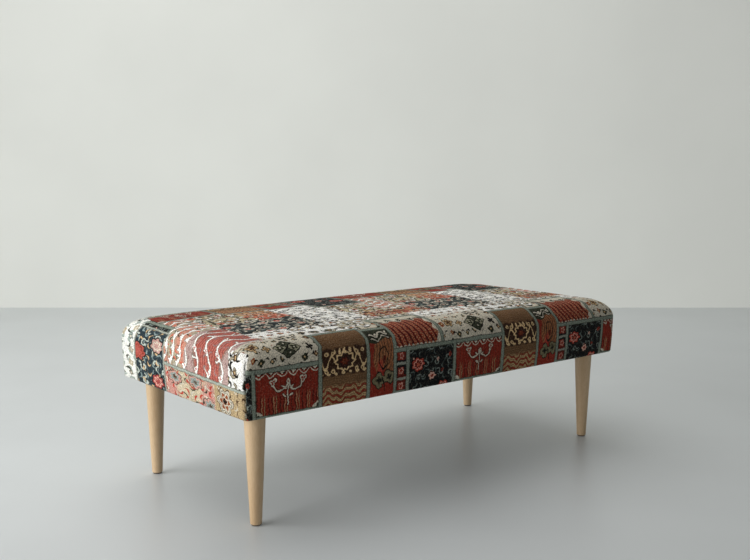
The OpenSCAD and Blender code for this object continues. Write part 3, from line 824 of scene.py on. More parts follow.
def patch_orange(art, x, y):
    """Tan shading to orange-red, with rows of small dark figures."""
    art.colour = SAND
    art.lay(CORAL, -y - 20, 110.0)
    art.lay(RUST, to_and_fro(x + y * 0.2, 9.0) - 3.2, 2.0, 0.8)
    cx, cy = cell(x, 29.0), cell(y, 33.0)
    art.lay(BROWN, least(abs(cx) + abs(cy) - 8, most(abs(cx) - 1.8, abs(cy) - 12)))
    art.lay(CREAM, abs(cx) + abs(cy) - 3.6)
    art.leaves(25.0, 11.0, 2.6, COAL, 2.0)
    art.leaves(23.0, 9.0, 2.4, CREAM)


def patch_white_vines(art, x, y):
    """Pink-red with darker ribs across, under thick white branching vines."""
    art.colour = shade(184, 104, 92)
    art.lay(shade(134, 58, 52), to_and_fro(y + x * 0.1, 4.6) - 1.6, 1.6, 0.85)
    side = sine(x * 0.03) * 14.0
    pale = least(y + 66 + side, 66 - y + side)
    art.lay(shade(184, 158, 152), pale, 5.0)
    art.leaves(23.0, 10.0, 2.4, MAUVE, 2.0)
    art.lay(GREY, abs(abs(pale) - 3.0) - 1.2, 0.9, 0.8)
    bow = sine(x * 0.06 + 0.6) * 14.0 + sine(x * 0.027 + 1.0) * 12.0
    vines, knot = branches(y, x, 49.0, bow, 2.6)
    art.lay(GREY, vines - 2.0, 0.9, 0.75)
    art.lay(CHALK, vines)
    art.lay(ROSE, knot + 3.6)


def patch_pink_vines(art, x, y):
    """Peach and cream with winding white stems."""
    art.colour = shade(200, 142, 122)
    art.lay(STONE, sine(y * 0.06 + x * 0.05) * 8.0, 8.0)
    art.leaves(23.0, 10.0, 3.0, CORAL)
    art.leaves(27.0, 10.0, 2.2, MOSS, 3.0)
    vines, _ = branches(y + 9.0, x, 31.0, sine(x * 0.08) * 10.0, 2.5)
    art.lay(GREY, vines - 1.8, 0.9, 0.7)
    art.lay(CHALK, vines)


def patch_low_flowers(art, x, y):
    """Pink and sand with three round grey flowers."""
    art.colour = shade(196, 146, 134)
    art.y = y * 0.6
    art.lay(shade(200, 186, 158), sine(y * 0.035 + 1.0) * 20.0 - x * 0.3, 14.0)
    art.leaves(19.0, 8.0, 2.6, ROSE)
    art.leaves(21.0, 8.0, 2.2, CREAM, 3.0)
    art.leaves(27.0, 7.0, 1.6, MOSS, 1.0)
    for cx, cy, size in ((37.0, -132.0, 14.0), (44.0, -42.0, 13.0), (5.0, 15.0, 13.0)):
        bloom = flower(x - cx, (y - cy) * 0.5, size, 6, 0.16)
        art.nest(bloom, (MOSS, -1.6), (shade(196, 150, 138), 0), (shade(146, 156, 150), 4.0), (BROWN, 9.5))


def patch_tan_flower(art, x, y):
    """Sand and tan, with one wide dark-eyed flower."""
    art.colour = shade(190, 168, 130)
    art.lay(shade(150, 124, 90), to_and_fro(y, 3.4) - 1.1, 0.9, 0.6)
    art.leaves(24.0, 8.0, 2.0, BROWN)
    art.leaves(31.0, 8.0, 2.0, CREAM, 2.0)
    fx, fy = y + 32, (x - 29) * 1.1
    blossom = flower(fx, fy, 27.0, 6, 0.2)
    art.nest(blossom, (BROWN, -2.4), (CREAM, 0))
    art.lay(GREY, abs(blossom + 5) - 1.2)
    art.lay(RUST, blossom + 10)
    art.lay(CREAM, ring(fx, fy, 10.0, 1.2))
    art.lay(COAL, flower(fx, fy, 7.0, 4, 0.35))


# One repeat of the cloth in millimetres, and half the width of its bands
REPEAT_X = 549.0
REPEAT_Y = 547.0
BAND = 4.6
# Each patch of the repeat: its painter, its left, right, far and near edges in millimetres, and half its band
REPEATED = [
    (patch_lozenge, -7, 193, -171, 0, BAND),
    (patch_olive_scroll, 303, 547, -171, -58, 0),
    (patch_red_stripes, 397, 542, -136, 0, BAND),
    (patch_busy_olive, 440, 647, 92, 324, 0),
    (patch_pink_vines, -2, 88, -455, -214, 0),
    (patch_busy_olive, 88, 215, 92, 258, 0),
    (patch_orange, 215, 303, 92, 283, 0),
    (patch_white_motifs, 303, 440, -455, -165, 0),
    (patch_brown_red, 440, 647, -234, -165, 0),
    (patch_blue_scrolls, 88, 303, -298, -165, 0),
    (patch_cream_field, 190, 303, -167, -70, 0),
    (patch_red_scroll, 30, 193, 0, 98, BAND),
    (patch_cartouche, 193, 320, -78, 118, BAND),
    (patch_teardrop, 320, 397, -65, 128, BAND),
    (patch_ladder, 397, 435, 0, 98, BAND),
    (patch_navy_flowers, 435, 579, 0, 172, BAND),
]
# Patches of the left end alone, in the same measure
LEFT_END = [
    (patch_end_white, -170, 34, -610, -500, 0),
    (patch_pink_vines, -60, 60, -372, -268, 0),
    (patch_white_vines, -60, 92, -273, -84, 0),
    (patch_cream_field, -60, 24, -94, -5, 0),
    (patch_low_flowers, -175, -55, -367, -5, 3.4),
    (patch_tan_flower, -175, -58, -150, -5, 0),
    (patch_end_navy, -175, 12, -505, -367, 2.2),
]
# Where the cloth's coordinates start in that measure, and how far the left end's piece was cut askew
TILE_X = 600.0
TILE_Y = -312.6
ASKEW = 0.033
ASKEW_FROM = 367.0
# How far noise moves the drawn art and the edges of patches
MOTIF_STRAY = 10.0
RIM_STRAY = 5.0
SEAM_WIDTH = 0.8


def patch_group(painter):
    """The node group of one patch, made once."""
    name = painter.__name__
    if name in bpy.data.node_groups:
        return bpy.data.node_groups[name]
    tree = bpy.data.node_groups.new(name, "ShaderNodeTree")
    for socket in ("X", "Y"):
        tree.interface.new_socket(socket, in_out="INPUT", socket_type="NodeSocketFloat")
    tree.interface.new_socket("Colour", in_out="OUTPUT", socket_type="NodeSocketColor")
    ink = Ink(tree)
    start = ink.node("NodeGroupInput")
    art = Art(ink, *(Value(ink, start.outputs[k]) for k in range(2)))
    painter(art, art.x, art.y)
    ink.put(art.colour, ink.node("NodeGroupOutput").inputs[0])
    return tree


def lay_patch(cloth, painter, place, motif, rim, wrapped):
    """One patch over the cloth; motif and rim are the cloth's coordinates for its art and for its edge."""
    left, right, far, near, band = place

    def from_middle(x, y):
        x, y = x - (left + right) / 2, y - (far + near) / 2
        return (cell(x, REPEAT_X), cell(y, REPEAT_Y)) if wrapped else (x, y)

    colour = cloth.ink.one("ShaderNodeGroup", *from_middle(*motif), node_tree=patch_group(painter))
    x, y = from_middle(*rim)
    edge = most(abs(x) - (right - left) / 2, abs(y) - (near - far) / 2)
    if band:
        # On the left end the band and its seam take their paler copies, as painted light
        strip, seam = (SLATE, SEAM) if wrapped else (PAINTED_LIGHT_SLATE, PAINTED_LIGHT_SEAM)
        cloth.lay(seam, edge - band - SEAM_WIDTH)
        cloth.lay(strip, edge - band + 0.7)
        cloth.lay(seam, edge + band - SEAM_WIDTH)
        edge = edge + (band + 0.9)
    cloth.lay(colour, edge, 1.6)


# Bare numbers in the materials are noise scales, radians per metre, or shares of colour, roughness or height
def new_material(name):
    """A material, its shader and the ink of its nodes."""
    material = bpy.data.materials.new(name)
    material.use_nodes = True
    return material, material.node_tree.nodes["Principled BSDF"], Ink(material.node_tree)


def fabric_material():
    """Woven patchwork cloth, all from the cloth coordinates."""
    material, shader, ink = new_material("patchwork_cloth")
    u, v, _ = ink.parts(ink.given("ShaderNodeUVMap", 0, uv_map="cloth"))
    place = ink.vector(u, v)
    stray = ink.parts(ink.noise(place, 62.0, 4.0, 0.62, coloured=True, space="2D"), "Color")
    tile = times_plus(u, 1 / MM, TILE_X), times_plus(v, 1 / MM, TILE_Y)
    motif, rim = (
        tuple(times_plus(share - 0.5, reach, along) for share, along in zip(stray, tile))
        for reach in (MOTIF_STRAY, RIM_STRAY)
    )
    cloth = Art(ink, *motif)
    cloth.colour = SLATE
    for painter, *box in REPEATED:
        lay_patch(cloth, painter, box, motif, rim, True)
    motif, rim = ((times_plus(y + ASKEW_FROM, ASKEW, x), y) for x, y in (motif, rim))
    for painter, *box in LEFT_END:
        lay_patch(cloth, painter, box, motif, rim, False)
    heather = ink.noise(place, 330.0, 3.0, 0.65, space="2D")
    mixed = ink.noise(ink.vector(u + 3.7, v - 1.9), 240.0, 3.0, 0.6, space="2D")
    cloth.lay(STONE, 0.60 - mixed, 0.10, 0.14)
    cloth.lay(COAL, mixed - 0.41, 0.10, 0.16)
    worn = ink.noise(place, 24.0, 3.0, space="2D")
    speckle = most(times_plus(heather, 2.4, -0.2), 0.3) * times_plus(worn, 0.5, 0.75)
    grey = ink.one("ShaderNodeCombineColor", speckle, speckle, speckle)
    ink.feed(
        shader, Base_Color=ink.over(cloth.colour, grey, 1.0, "MULTIPLY"), Roughness=0.88,
        Specular_IOR_Level=0.04, Sheen_Weight=0.02, Sheen_Roughness=0.5,
    )
    pitch = 2 * math.pi / (2.1 * MM)
    thread = times_plus(sine(u * pitch) * sine(v * pitch), 0.5, 0.5) + heather * 0.5
    ink.bump(shader, thread, 0.35, 0.6 * MM)
    return material


def wood_material(name, light, dark, along, roughness=0.42):
    """Straight-grained wood with its fibres along the axis number along."""
    material, shader, ink = new_material(name)
    a, b, c = ink.parts(ink.given("ShaderNodeTexCoord", "Object"))
    axes = [a, b, c]
    long = axes.pop(along)
    a, b = axes
    slow = ink.noise(ink.vector(a, b, long * 0.12), 14.0)
    rings = sine(a * 260.0 + b * 170.0 + slow * 16.0)
    fibre = ink.noise(ink.vector(a, b, long * 0.035), 850.0, 3.0, 0.6)
    pores = ink.noise(ink.vector(a, b, long * 0.02), 1900.0, 1.0)
    tone = times_plus(rings, 0.13, 0.42) + (fibre - 0.5) * 0.9
    colour = ink.ramp(tone, (0.0, light), (1.0, dark))
    colour = ink.over(colour, dark, within(pores - 0.36, 0.08) * 0.5)
    ink.feed(shader, Base_Color=colour, Roughness=times_plus(fibre, 0.16, roughness - 0.08))
    ink.bump(shader, fibre + pores * 0.5, 0.25, 0.4 * MM)
    return material


def plain_material(name, light, dark, scale, roughness, metal=0.0, bump_depth=0.3 * MM, weave=0.0):
    """A finish with fine mottling, and a weave of the given pitch where there is one."""
    material, shader, ink = new_material(name)
    spot = ink.given("ShaderNodeTexCoord", "Object")
    mottle = height = ink.noise(spot, scale, 3.0, 0.6)
    if weave:
        x, y, z = ink.parts(spot)
        k = 2 * math.pi / weave
        threads = sine(x * k) * sine(y * k) + sine(z * k) * 0.5
        height = mottle * 0.6 + threads * 0.5
        mottle = mottle * 0.7 + threads * 0.15
    colour = ink.ramp(mottle, (0.3, dark), (0.7, light))
    ink.feed(shader, Base_Color=colour, Roughness=times_plus(mottle, 0.2, roughness - 0.1), Metallic=metal)
    ink.bump(shader, height, 0.4, bump_depth)
    return material


def dress(obj, material):
    if not obj.data.materials:
        obj.data.materials.append(material)
    for slot in obj.material_slots:
        slot.material = material


fabric = fabric_material()


# How the stuffed seat swells: a run of the skin as cloth under pressure, held by its hem
FRAMES = 20
QUALITY = 4
HELD_EVERY = 3
PRESSURE = 4.0
AIR_DAMPING = 4.0
CLOTH_MASS = 0.35
STRETCH_STIFFNESS = 3000.0
SHEAR_STIFFNESS = 1500.0
BEND_STIFFNESS = 20.0
SMOOTHING_ROUNDS = 8
# Even steps along the middle of each grid: the coarse skin, the cover and the layers under it
COARSE_STEPS = 52
COVER_STEPS = 104
LAYER_STEPS = 60


def blown_skin(skin):
    """How far out each point of the skin moves when it is blown out as tight cloth, stapled along its hem."""
    points = skin.places(0.0)
    quads, _ = skin.faces()
    obj = new_mesh("blown", points, quads, smooth=False)
    held = obj.vertex_groups.new(name="held")
    held.add(list(range(len(points) - len(skin.rim), len(points), HELD_EVERY)), 1.0, "REPLACE")
    run = obj.modifiers.new("blown", "CLOTH")
    cloth = run.settings
    cloth.quality = QUALITY
    cloth.mass = CLOTH_MASS
    cloth.air_damping = AIR_DAMPING
    cloth.tension_stiffness = cloth.compression_stiffness = STRETCH_STIFFNESS
    cloth.shear_stiffness = SHEAR_STIFFNESS
    cloth.bending_stiffness = BEND_STIFFNESS
    cloth.vertex_group_mass = "held"
    cloth.use_pressure = True
    cloth.uniform_pressure_force = PRESSURE
    cloth.effector_weights.gravity = 0.0
    run.point_cache.frame_start = 1
    run.point_cache.frame_end = FRAMES
    for number in range(1, FRAMES + 1):
        scene.frame_set(number)
    shape = obj.evaluated_get(bpy.context.evaluated_depsgraph_get()).data
    moved = np.empty(len(points) * 3)
    shape.vertices.foreach_get("co", moved)
    scene.frame_set(1)
    bpy.data.objects.remove(obj)
    return ((moved.reshape(-1, 3) - points) * outward(points, quads)).sum(1)


def carried(field, coarse, fine):
    """A value at each point of the coarse skin, carried over to the points of the fine one and smoothed."""
    top = field[: coarse.top_count].reshape(coarse.nu + 1, coarse.nv + 1)
    top = np.stack([np.interp(fine.v, coarse.v, line) for line in top])
    top = np.stack([np.interp(fine.u, coarse.u, line) for line in top.T], 1)
    rim = field[coarse.number(coarse.rim[:, 0], coarse.rim[:, 1])]
    rings = np.vstack([rim, field[coarse.top_count :].reshape(len(coarse.rows), -1)])
    rings = np.column_stack([rings, rings[:, 0]])
    rings = np.stack([np.interp(fine.rim_way()[:-1], coarse.rim_way(), line) for line in rings])
    levels = np.concatenate([[MID_EDGE], coarse.rows])
    rings = np.stack([np.interp(fine.rows, levels, line) for line in rings.T], 1)
    values = np.concatenate([top.ravel(), rings.ravel()])
    quads, _ = fine.faces()
    for _ in range(SMOOTHING_ROUNDS):
        total, count = np.zeros_like(values), np.zeros_like(values)
        for k in range(4):
            near = values[quads[:, (k + 1) % 4]] + values[quads[:, (k + 3) % 4]]
            np.add.at(total, quads[:, k], near)
            np.add.at(count, quads[:, k], 2)
        values = total / count
    return values


def coarse_skin():
    insets = np.concatenate([np.array([0, 4, 9, 15]) * MM, np.linspace(22 * MM, FLAT_W + MID_EDGE, 22)])
    rows = cover_rows()
    return Skin(insets, COARSE_STEPS, np.concatenate([rows[1:6:2], rows[7:22:3], rows[23:26:2], rows[-1:]]))


def swelling():
    """The coarse skin and how far it swells: up to 5 mm on the seat, where the boards let it on the sides."""
    skin = coarse_skin()
    moved = blown_skin(skin)
    s = skin.flat()[2]
    down = np.clip((s - MID_EDGE) / (ARC - MID_EDGE), 0, 1)
    cap = SEAT_SWELL + (SIDE_SWELL - SEAT_SWELL) * down
    swell = cap * np.tanh(np.maximum(moved, 0) / cap)
    give = SIDE_GIVE * np.tanh(np.minimum(moved, 0) / SIDE_GIVE)
    stay = np.clip((ARC + SIDE - s) / BEND_R, 0, 1)
    return skin, (swell + give) * stay


swollen_skin, swollen = swelling()


def declare(piece, material, slot, *replaced):
    piece.data.materials.append(material)
    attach(piece, "root")
    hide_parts(*replaced)


def two_sided(name, skin, outside, inside, with_cloth):
    """A closed cloth with this outside and inside and a lip where they end, and its cloth coordinates."""
    quads, cloth = skin.faces()
    count, n = len(outside), len(skin.rim)
    last, p = np.full(n, len(skin.rows)), np.arange(n)
    a, b = skin.row_number(last, p), skin.row_number(last, p + 1)
    lip = np.stack([a, a + count, b + count, b], -1)
    faces = np.concatenate([quads, quads[:, ::-1] + count, lip])
    lip_cloth = cloth[len(quads) - n :][:, [1, 1, 2, 2]]
    cloths = np.concatenate([cloth, cloth[:, ::-1], lip_cloth]) if with_cloth else None
    return new_mesh(name, np.concatenate([outside, inside]), faces, cloths)


def make_cover():
    """One cloth over the seat, down the sides and turned under, with its thickness."""
    skin = Skin(steps_in(), COVER_STEPS, cover_rows())
    u, v, s = skin.flat()
    outside, inside = skin.places(0.0), skin.places(COVER_T)
    normals = outward(outside, skin.faces()[0])
    blown = carried(swollen, swollen_skin, skin)[:, None]
    swell = relief(u, v, s, skin)[:, None]
    outside = outside + normals * (blown + swell)
    inside = inside + normals * (blown + np.maximum(swell, -0.2 * MM) * 0.8)
    cover = two_sided("cover", skin, outside, inside, True)
    declare(cover, fabric, "cover_fabric", "seat_cover")


# The layers under the cover
SOFT_GAP = 0.3 * MM
PRESSED = 0.6 * MM
WADDING_OFF = COVER_T + SOFT_GAP
WADDING_IN = WADDING_OFF + 8 * MM
CORE_OFF = WADDING_IN + SOFT_GAP
STRAP_T = 2 * MM
FLAT_PAST = 2 * MM
BAY_X = -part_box("rail_left")[1].x
BAY_Y = -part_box("rail_front")[1].y
LONG_STRAPS = [f"webbing_long_{k}" for k in range(1, 5)]
CROSS_STRAPS = [f"webbing_cross_{k}" for k in range(1, 10)]
LOFTY_WAVES = 18
LOFTY_RANGE = 40, 220

# The hessian, which sags between the straps, and the dust cover with its edges turned in
HESSIAN_GRID = 121, 61
HESSIAN_SAG = 1.0 * MM
STRAP_HALF = 30 * MM
OPENING_HALF = 34 * MM
TURNED_IN = 9 * MM
FOLD_STEP = 0.6 * MM
FOLDED_SHARE = 1.9
SLIT_ROOM = 3 * MM
TACK_LINE = 6 * MM
DUST_IN = 14 * MM
DUST_SLACK = 2.2 * MM
SLACK_REACH = 90 * MM
DUST_RIPPLE = 0.7 * MM
RIPPLE_PITCH = 35 * MM
RIPPLE_START = 6 * MM
RIPPLE_REACH = 70 * MM


def layer_skin(bottom):
    """A middling grid from the seat down the sides to the level bottom."""
    far = np.linspace(30 * MM, FLAT_W + MID_EDGE, 26)
    insets = np.concatenate([np.array([0, 3, 7, 12, 18, 24]) * MM, far])
    foot = ARC + EDGE_TOP - EDGE_ROUND - bottom
    return Skin(insets, LAYER_STEPS, rows_between([MID_EDGE, ARC, foot], (5, 8)))


def lofty(u, v, seed, size):
    """Small unevenness of a soft stuffing."""
    rng = np.random.default_rng(seed)
    total = np.zeros_like(u)
    for _, wave in waves(rng, u, v, LOFTY_WAVES, *LOFTY_RANGE):
        total += wave * rng.uniform(0.2, 1.0)
    return total / np.abs(total).max() * size


def used_only(name, points, faces):
    """A mesh of the points that its faces use."""
    used = np.unique(faces)
    short = np.full(len(points), -1)
    short[used] = np.arange(len(used))
    return new_mesh(name, points[used], short[faces])


def make_wadding():
    skin = layer_skin(BODY_BOTTOM + BEND_R)
    quads, _ = skin.faces()
    u, v, _ = skin.flat()
    outside, inside = skin.places(WADDING_OFF + PRESSED), skin.places(WADDING_IN, 0.0)
    normals = outward(outside, quads)
    blown = carried(swollen, swollen_skin, skin)[:, None]
    outside = outside + normals * (blown - np.abs(lofty(u, v, 3, 0.5 * MM))[:, None])
    inside = inside + outward(inside, quads) * np.maximum(blown, 0)
    wadding = two_sided("wadding_layer", skin, outside, inside, False)
    declare(wadding, wadding_stuff, "wadding", "seat_wadding")


def make_foam():
    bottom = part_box("seat_foam")[0].z
    skin = layer_skin(bottom)
    quads, _ = skin.faces()
    u, v, s = skin.flat()
    outside = skin.places(CORE_OFF + SOFT_GAP, 0.0)
    blown = carried(swollen, swollen_skin, skin)[:, None]
    sides = np.clip((s - MID_EDGE) / (ARC - MID_EDGE), 0, 1)[:, None]
    pits = np.abs(lofty(u, v, 5, 0.4 * MM))[:, None]
    outside = outside + outward(outside, quads) * (blown * (1 - sides) - pits)
    under = outside[: skin.top_count].copy()
    under[:, 2] = bottom + np.abs(lofty(under[:, 0], under[:, 1], 9, 0.3 * MM))
    rim, n = skin.number(skin.rim[:, 0], skin.rim[:, 1]), len(skin.rim)
    below = np.arange(skin.top_count) + len(outside)
    below[rim] = skin.row_number(np.full(n, len(skin.rows)), np.arange(n))
    seat = skin.nu * skin.nv
    faces = np.concatenate([quads, below[quads[:seat, ::-1]]])
    foam = used_only("foam_block", np.concatenate([outside, under]), faces)
    declare(foam, foam_stuff, "foam", "seat_foam")


def middle(name, axis):
    low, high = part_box(name)
    return (low[axis] + high[axis]) / 2


# A strap's half section from its edge in: shares of its half width, and of its thickness there
HALF_ACROSS = (1, 0.985, 0.95, 0.9, 0.6, 0.3)
HALF_THICK = (0.45, 0.8, 0.95, 0.82, 1, 0.92)


def make_strap(name, crossed, over_first):
    """A woven strap that passes over and under those that it crosses, with rounded edges."""
    low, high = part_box(name)
    along = 0 if high.x - low.x > high.y - low.y else 1
    centre = (low + high) / 2
    bay = (BAY_X, BAY_Y)[along]
    reach = (high[along] - low[along]) / 2
    lift = (high.z - low.z - STRAP_T) / 2
    half_w = (high[1 - along] - low[1 - along]) / 2
    flat = half_w + FLAT_PAST
    knots = [(-reach, 0.0), (-bay, 0.0)]
    for i, other in enumerate(crossed):
        place = middle(other, along)
        level = lift if (i % 2 == 0) == over_first else -lift
        knots += [(place - flat, level), (place + flat, level)]
    knots += [(bay, 0.0), (reach, 0.0)]
    ways, levels = [knots[0][0]], [0.0]
    for (x0, z0), (x1, z1) in zip(knots, knots[1:]):
        for t in np.linspace(0, 1, 7 if z0 != z1 else 4)[1:]:
            ways.append(x0 + (x1 - x0) * t)
            levels.append(z0 + (z1 - z0) * t * t * (3 - 2 * t))
    across = np.array([*(-a for a in HALF_ACROSS), 0, *HALF_ACROSS[::-1]]) * half_w
    thick = np.array([*HALF_THICK, 1, *HALF_THICK[::-1]]) * STRAP_T / 2
    outline = np.concatenate([np.stack([across, thick], -1), np.stack([across, -thick], -1)[::-1]])
    around = len(outline)
    points = np.empty((len(ways), around, 3))
    points[:, :, along] = centre[along] + np.array(ways)[:, None]
    points[:, :, 1 - along] = centre[1 - along] + outline[None, :, 0]
    points[:, :, 2] = centre.z + np.array(levels)[:, None] + outline[None, :, 1]
    i, j = pairs(len(ways) - 1, around)
    k = (j + 1) % around
    corners = [(i, j), (i, k), (i + 1, k), (i + 1, j)]
    quads = np.stack([a * around + b for a, b in corners], -1)
    ends = [list(range(around))[::-1], list(range((len(ways) - 1) * around, len(ways) * around))]
    faces = quads.tolist() + ends
    if along == 0:
        faces = [face[::-1] for face in faces]
    strap = new_mesh(name.replace("webbing", "strap"), points.reshape(-1, 3), faces)
    declare(strap, strap_cloth, "webbing", name)


def round_off(x, y, hx, hy, r):
    """A grid's square corners drawn in to the radius r."""
    cx, cy = np.abs(x) - (hx - r), np.abs(y) - (hy - r)
    corner = (cx > 0) & (cy > 0)
    scale = np.where(corner, np.maximum(cx, cy) / np.maximum(np.hypot(cx, cy), 1e-9), 1.0)
    x = np.where(corner, np.sign(x) * (hx - r + cx * scale), x)
    y = np.where(corner, np.sign(y) * (hy - r + cy * scale), y)
    return x, y


def make_sheet(name, xs, ys, place, thick, kept):
    """A closed sheet over the cells of a grid: place gives each grid point's x, y and upper level."""
    gx, gy = np.meshgrid(xs, ys, indexing="ij")
    x, y, z = place(gx, gy)
    upper = np.stack([x, y, z], -1).reshape(-1, 3)
    lower = np.stack([x, y, z - thick(gx, gy)], -1).reshape(-1, 3)
    count, wide = len(upper), len(ys)
    mid_x, mid_y = (xs[1:] + xs[:-1]) / 2, (ys[1:] + ys[:-1]) / 2
    keep = np.pad(kept(mid_x[:, None], mid_y[None, :]), 1)
    faces = []
    for i, j in np.argwhere(keep):
        a = (i - 1) * wide + j - 1
        corners = [a, a + wide, a + wide + 1, a + 1]
        faces.append(corners)
        faces.append([p + count for p in corners[::-1]])
        beside = [(i, j - 1), (i + 1, j), (i, j + 1), (i - 1, j)]
        for k, other in enumerate(beside):
            if not keep[other]:
                p, q = corners[k], corners[(k + 1) % 4]
                faces.append([q, p, p + count, q + count])
    return used_only(name, np.concatenate([upper, lower]), np.array(faces))


def make_hessian():
    low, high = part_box("hessian_sheet")
    cross_middles = [middle(name, 0) for name in CROSS_STRAPS]
    long_middles = [middle(name, 1) for name in LONG_STRAPS]

    def open_share(value, middles):
        """0 over a strap and 1 in the middle of the opening beside it."""
        gap = np.min([np.abs(value - m) for m in middles], axis=0)
        return np.sin(np.clip((gap - STRAP_HALF) / OPENING_HALF, 0, 1) * math.pi / 2) ** 2

    def place(x, y):
        over_bay = (np.abs(x) < BAY_X) & (np.abs(y) < BAY_Y)
        sag = open_share(x, cross_middles) * open_share(y, long_middles) * over_bay
        x, y = round_off(x, y, high.x, high.y, CORNER_ROUND - CORE_OFF)
        return x, y, high.z - HESSIAN_SAG * sag

    def thick(x, y):
        return np.full_like(x, high.z - low.z)

    def kept(x, y):
        return np.ones_like(x + y, bool)

    xs, ys = (np.linspace(low[k], high[k], count) for k, count in enumerate(HESSIAN_GRID))
    sheet = make_sheet("hessian_cloth", xs, ys, place, thick, kept)
    declare(sheet, jute, "hessian", "hessian_sheet")


def slit_lines(near, far, edge, steps):
    """Grid lines on both sides of the middle: even up to the slit, close across it, then the turned-in edge."""
    fold = edge - TURNED_IN
    half = [np.linspace(0, near, steps), np.linspace(near, far, 9)[1:], [fold, fold + FOLD_STEP, edge]]
    half = np.concatenate(half)
    return np.concatenate([-half[:0:-1], half])


def make_dust_cover():
    """Thin cloth tacked under the frame: turned-in edges, a little slack in the middle and slit round the plates."""
    low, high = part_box("dust_cover")
    plate_low, plate_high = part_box("leg_plate_front_left")
    x0, x1 = sorted((abs(plate_high.x) - SLIT_ROOM, abs(plate_low.x) + SLIT_ROOM))
    y0, y1 = sorted((abs(plate_high.y) - SLIT_ROOM, abs(plate_low.y) + SLIT_ROOM))
    xs, ys = slit_lines(x0, x1, high.x, 61), slit_lines(y0, y1, high.y, 25)
    line_x, line_y = BAY_X + TACK_LINE, BAY_Y + TACK_LINE
    cloth_t = high.z - low.z

    def place(x, y):
        inward = np.minimum(line_x - np.abs(x), line_y - np.abs(y))
        slack = eased(np.clip(inward / SLACK_REACH, 0, 1))
        ripple = np.clip(inward / RIPPLE_START, 0, 1) * np.clip(1 - inward / RIPPLE_REACH, 0, 1)
        wave = np.where(line_x - np.abs(x) < line_y - np.abs(y), y, x)
        drop = DUST_SLACK * slack
        drop += (0.5 - 0.5 * np.cos(wave * 2 * math.pi / RIPPLE_PITCH)) * DUST_RIPPLE * ripple
        drop += np.abs(lofty(x, y, 11, 0.5 * MM)) * slack
        x, y = round_off(x, y, high.x, high.y, CORNER_ROUND - DUST_IN)
        return x, y, high.z - drop

    def thick(x, y):
        fold = TURNED_IN - FOLD_STEP / 2
        double = (np.abs(x) > high.x - fold) | (np.abs(y) > high.y - fold)
        return np.where(double, FOLDED_SHARE * cloth_t, cloth_t)

    def kept(x, y):
        window = (np.abs(x) > x0) & (np.abs(x) < x1) & (np.abs(y) > y0) & (np.abs(y) < y1)
        return ~window

    sheet = make_sheet("dust_cloth", xs, ys, place, thick, kept)
    declare(sheet, dust_cloth, "dust_cloth", "dust_cover")


# Finishes, and the parts that the CAD already has in their true shape
ASH_LIGHT = shade(224, 197, 160)
ASH_DARK = shade(182, 147, 104)
PINE_LIGHT = shade(222, 196, 150)
PINE_DARK = shade(184, 148, 100)
SAWN = 0.65
leg_wood = wood_material("leg_wood", ASH_LIGHT, ASH_DARK, 2)
rail_wood_x = wood_material("rail_wood_long", PINE_LIGHT, PINE_DARK, 0, SAWN)
rail_wood_y = wood_material("rail_wood_short", PINE_LIGHT, PINE_DARK, 1, SAWN)
steel = plain_material(
    "zinc_steel", shade(186, 190, 194), shade(150, 154, 160), 300.0, 0.38, metal=1.0, bump_depth=0.1 * MM
)
dust_cloth = plain_material("dust_cloth", shade(44, 44, 46), shade(26, 26, 28), 900.0, 0.95, weave=1.6 * MM)
jute = plain_material("hessian", shade(190, 160, 112), shade(150, 120, 78), 500.0, 0.95, weave=3.0 * MM)
strap_cloth = plain_material("webbing", shade(40, 40, 42), shade(22, 22, 24), 500.0, 0.85, weave=2.4 * MM)
foam_stuff = plain_material("foam", shade(236, 226, 190), shade(214, 200, 158), 700.0, 0.95, bump_depth=1.0 * MM)
wadding_stuff = plain_material(
    "wadding", shade(244, 244, 240), shade(226, 226, 220), 200.0, 0.98, bump_depth=2.0 * MM
)
glide_plastic = plain_material("glide_plastic", shade(96, 84, 72), shade(70, 60, 52), 400.0, 0.5)

make_cover()
make_wadding()
make_foam()
for k, name in enumerate(LONG_STRAPS, 1):
    make_strap(name, CROSS_STRAPS, k % 2 == 0)
for k, name in enumerate(CROSS_STRAPS, 1):
    make_strap(name, LONG_STRAPS, k % 2 == 1)
make_hessian()
make_dust_cover()

# A node takes the finish of the first of these words that its name holds
FINISHES = [
    ("leg_plate", steel), ("leg_bolt", steel), ("screws", steel), ("staples", steel), ("leg_", leg_wood),
    ("rail_front", rail_wood_x), ("rail_back", rail_wood_x), ("block", rail_wood_x), ("rail", rail_wood_y),
    ("frame_dowels", rail_wood_y), ("glide", glide_plastic), ("webbing", strap_cloth),
    ("dust_cover", dust_cloth), ("hessian_sheet", jute), ("seat_foam", foam_stuff),
    ("seat_wadding", wadding_stuff),
]
for name, obj in nodes.items():
    material = next((finish for word, finish in FINISHES if word in name), None)
    if material:
        dress(obj, material)

# Camera, as the photograph was taken, in metres
CAMERA_PLACE = Vector((-1.5762, -1.8809, 0.7398))
CAMERA_AHEAD = Vector((0.6313, 0.7672, -0.1134))
CAMERA_LENS = 45.8
CAMERA_SENSOR = 36.0


def stand(name, data, place, ahead):
    """A lamp or a camera at a place, turned to look ahead."""
    obj = bpy.data.objects.new(name, data)
    scene.collection.objects.link(obj)
    obj.location = place
    obj.rotation_mode = "QUATERNION"
    obj.rotation_quaternion = ahead.to_track_quat("-Z", "Y")
    return obj


def make_camera():
    data = bpy.data.cameras.new("camera")
    data.lens = CAMERA_LENS
    data.sensor_width = CAMERA_SENSOR
    scene.camera = stand("camera", data, CAMERA_PLACE, CAMERA_AHEAD)


make_camera()

# The floor and the wall behind, neither of them part of the bench, in metres
WALL_AWAY = 5.15
WALL_HEIGHT = 4.5
FLOOR_LENGTH = 16
STAGE_HALF_WIDTH = 9.0
FLOOR_COLOUR = shade(209, 214, 215)
WALL_COLOUR = shade(200, 202, 197)


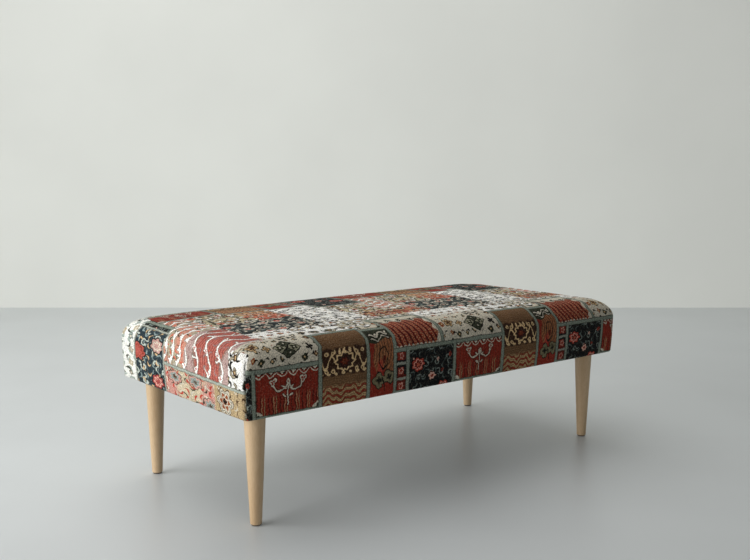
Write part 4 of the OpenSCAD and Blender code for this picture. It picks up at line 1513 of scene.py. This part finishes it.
def stage_material(name, colour, roughness, specular, glow):
    material, shader, ink = new_material(name)
    mottle = ink.noise(ink.given("ShaderNodeTexCoord", "Object"), 1.4, 3.0)
    darker = tuple(c * 0.94 for c in colour[:3]) + (1.0,)
    ink.feed(
        shader, Base_Color=ink.ramp(mottle, (0.35, darker), (0.65, colour)), Roughness=roughness,
        Specular_IOR_Level=specular, Emission_Color=colour, Emission_Strength=glow,
    )
    return material


def make_stage():
    ahead = CAMERA_AHEAD.xy.normalized()
    across = Vector((ahead.y, -ahead.x)) * STAGE_HALF_WIDTH
    foot = CAMERA_PLACE.xy + ahead * WALL_AWAY
    near = foot - ahead * FLOOR_LENGTH

    def board(name, first, last, height, material):
        """A flat piece across the whole stage, from one line on the floor to the other, raised to a height."""
        corners = [first - across, first + across, last + across, last - across]
        points = [(p.x, p.y, z) for p, z in zip(corners, (0, 0, height, height))]
        made = new_mesh(name, np.array(points), np.array([[0, 1, 2, 3]]), smooth=False)
        made.data.materials.append(material)
        return made

    floor = board("floor", near, foot, 0, stage_material("floor_paint", FLOOR_COLOUR, 0.35, 0.40, 0.05))
    wall = board("wall", foot, foot, WALL_HEIGHT, stage_material("wall_paint", WALL_COLOUR, 0.95, 0.1, 0.44))


make_stage()

# Light: a wide window at the left, a wide pale ceiling, and a little from all round
LAMPS = [
    ("window", (-3.3, 0.7, 1.1), (0.0, 0.1, 0.45), 3.2, 2.1, 94.0),
    ("ceiling", (-0.3, 1.2, 3.2), (0.0, 0.6, 0.0), 4.0, 3.0, 53.0),
]
LAMP_COLOUR = (1.0, 0.99, 0.98)
WORLD_COLOUR = (1.0, 0.98, 0.95, 1.0)
WORLD_LIGHT = 0.125
BACKDROP_SEEN = 0.72


def area_light(name, place, aim, size_x, size_y, power):
    light = bpy.data.lights.new(name, "AREA")
    light.shape = "RECTANGLE"
    light.size, light.size_y = size_x, size_y
    light.energy = power
    light.color = LAMP_COLOUR
    stand(name, light, place, Vector(aim) - Vector(place))


def make_lights():
    world = bpy.data.worlds.new("world")
    scene.world = world
    world.use_nodes = True
    ink = Ink(world.node_tree)
    path = ink.node("ShaderNodeLightPath")
    seen = [Value(ink, path.outputs["Is %s Ray" % kind]) for kind in ("Camera", "Glossy", "Transmission")]
    level = times_plus(most(*seen), BACKDROP_SEEN - WORLD_LIGHT, WORLD_LIGHT)
    ink.feed(world.node_tree.nodes["Background"], Color=WORLD_COLOUR, Strength=level)
    for lamp in LAMPS:
        area_light(*lamp)


make_lights()
scene.view_settings.view_transform = "Standard"
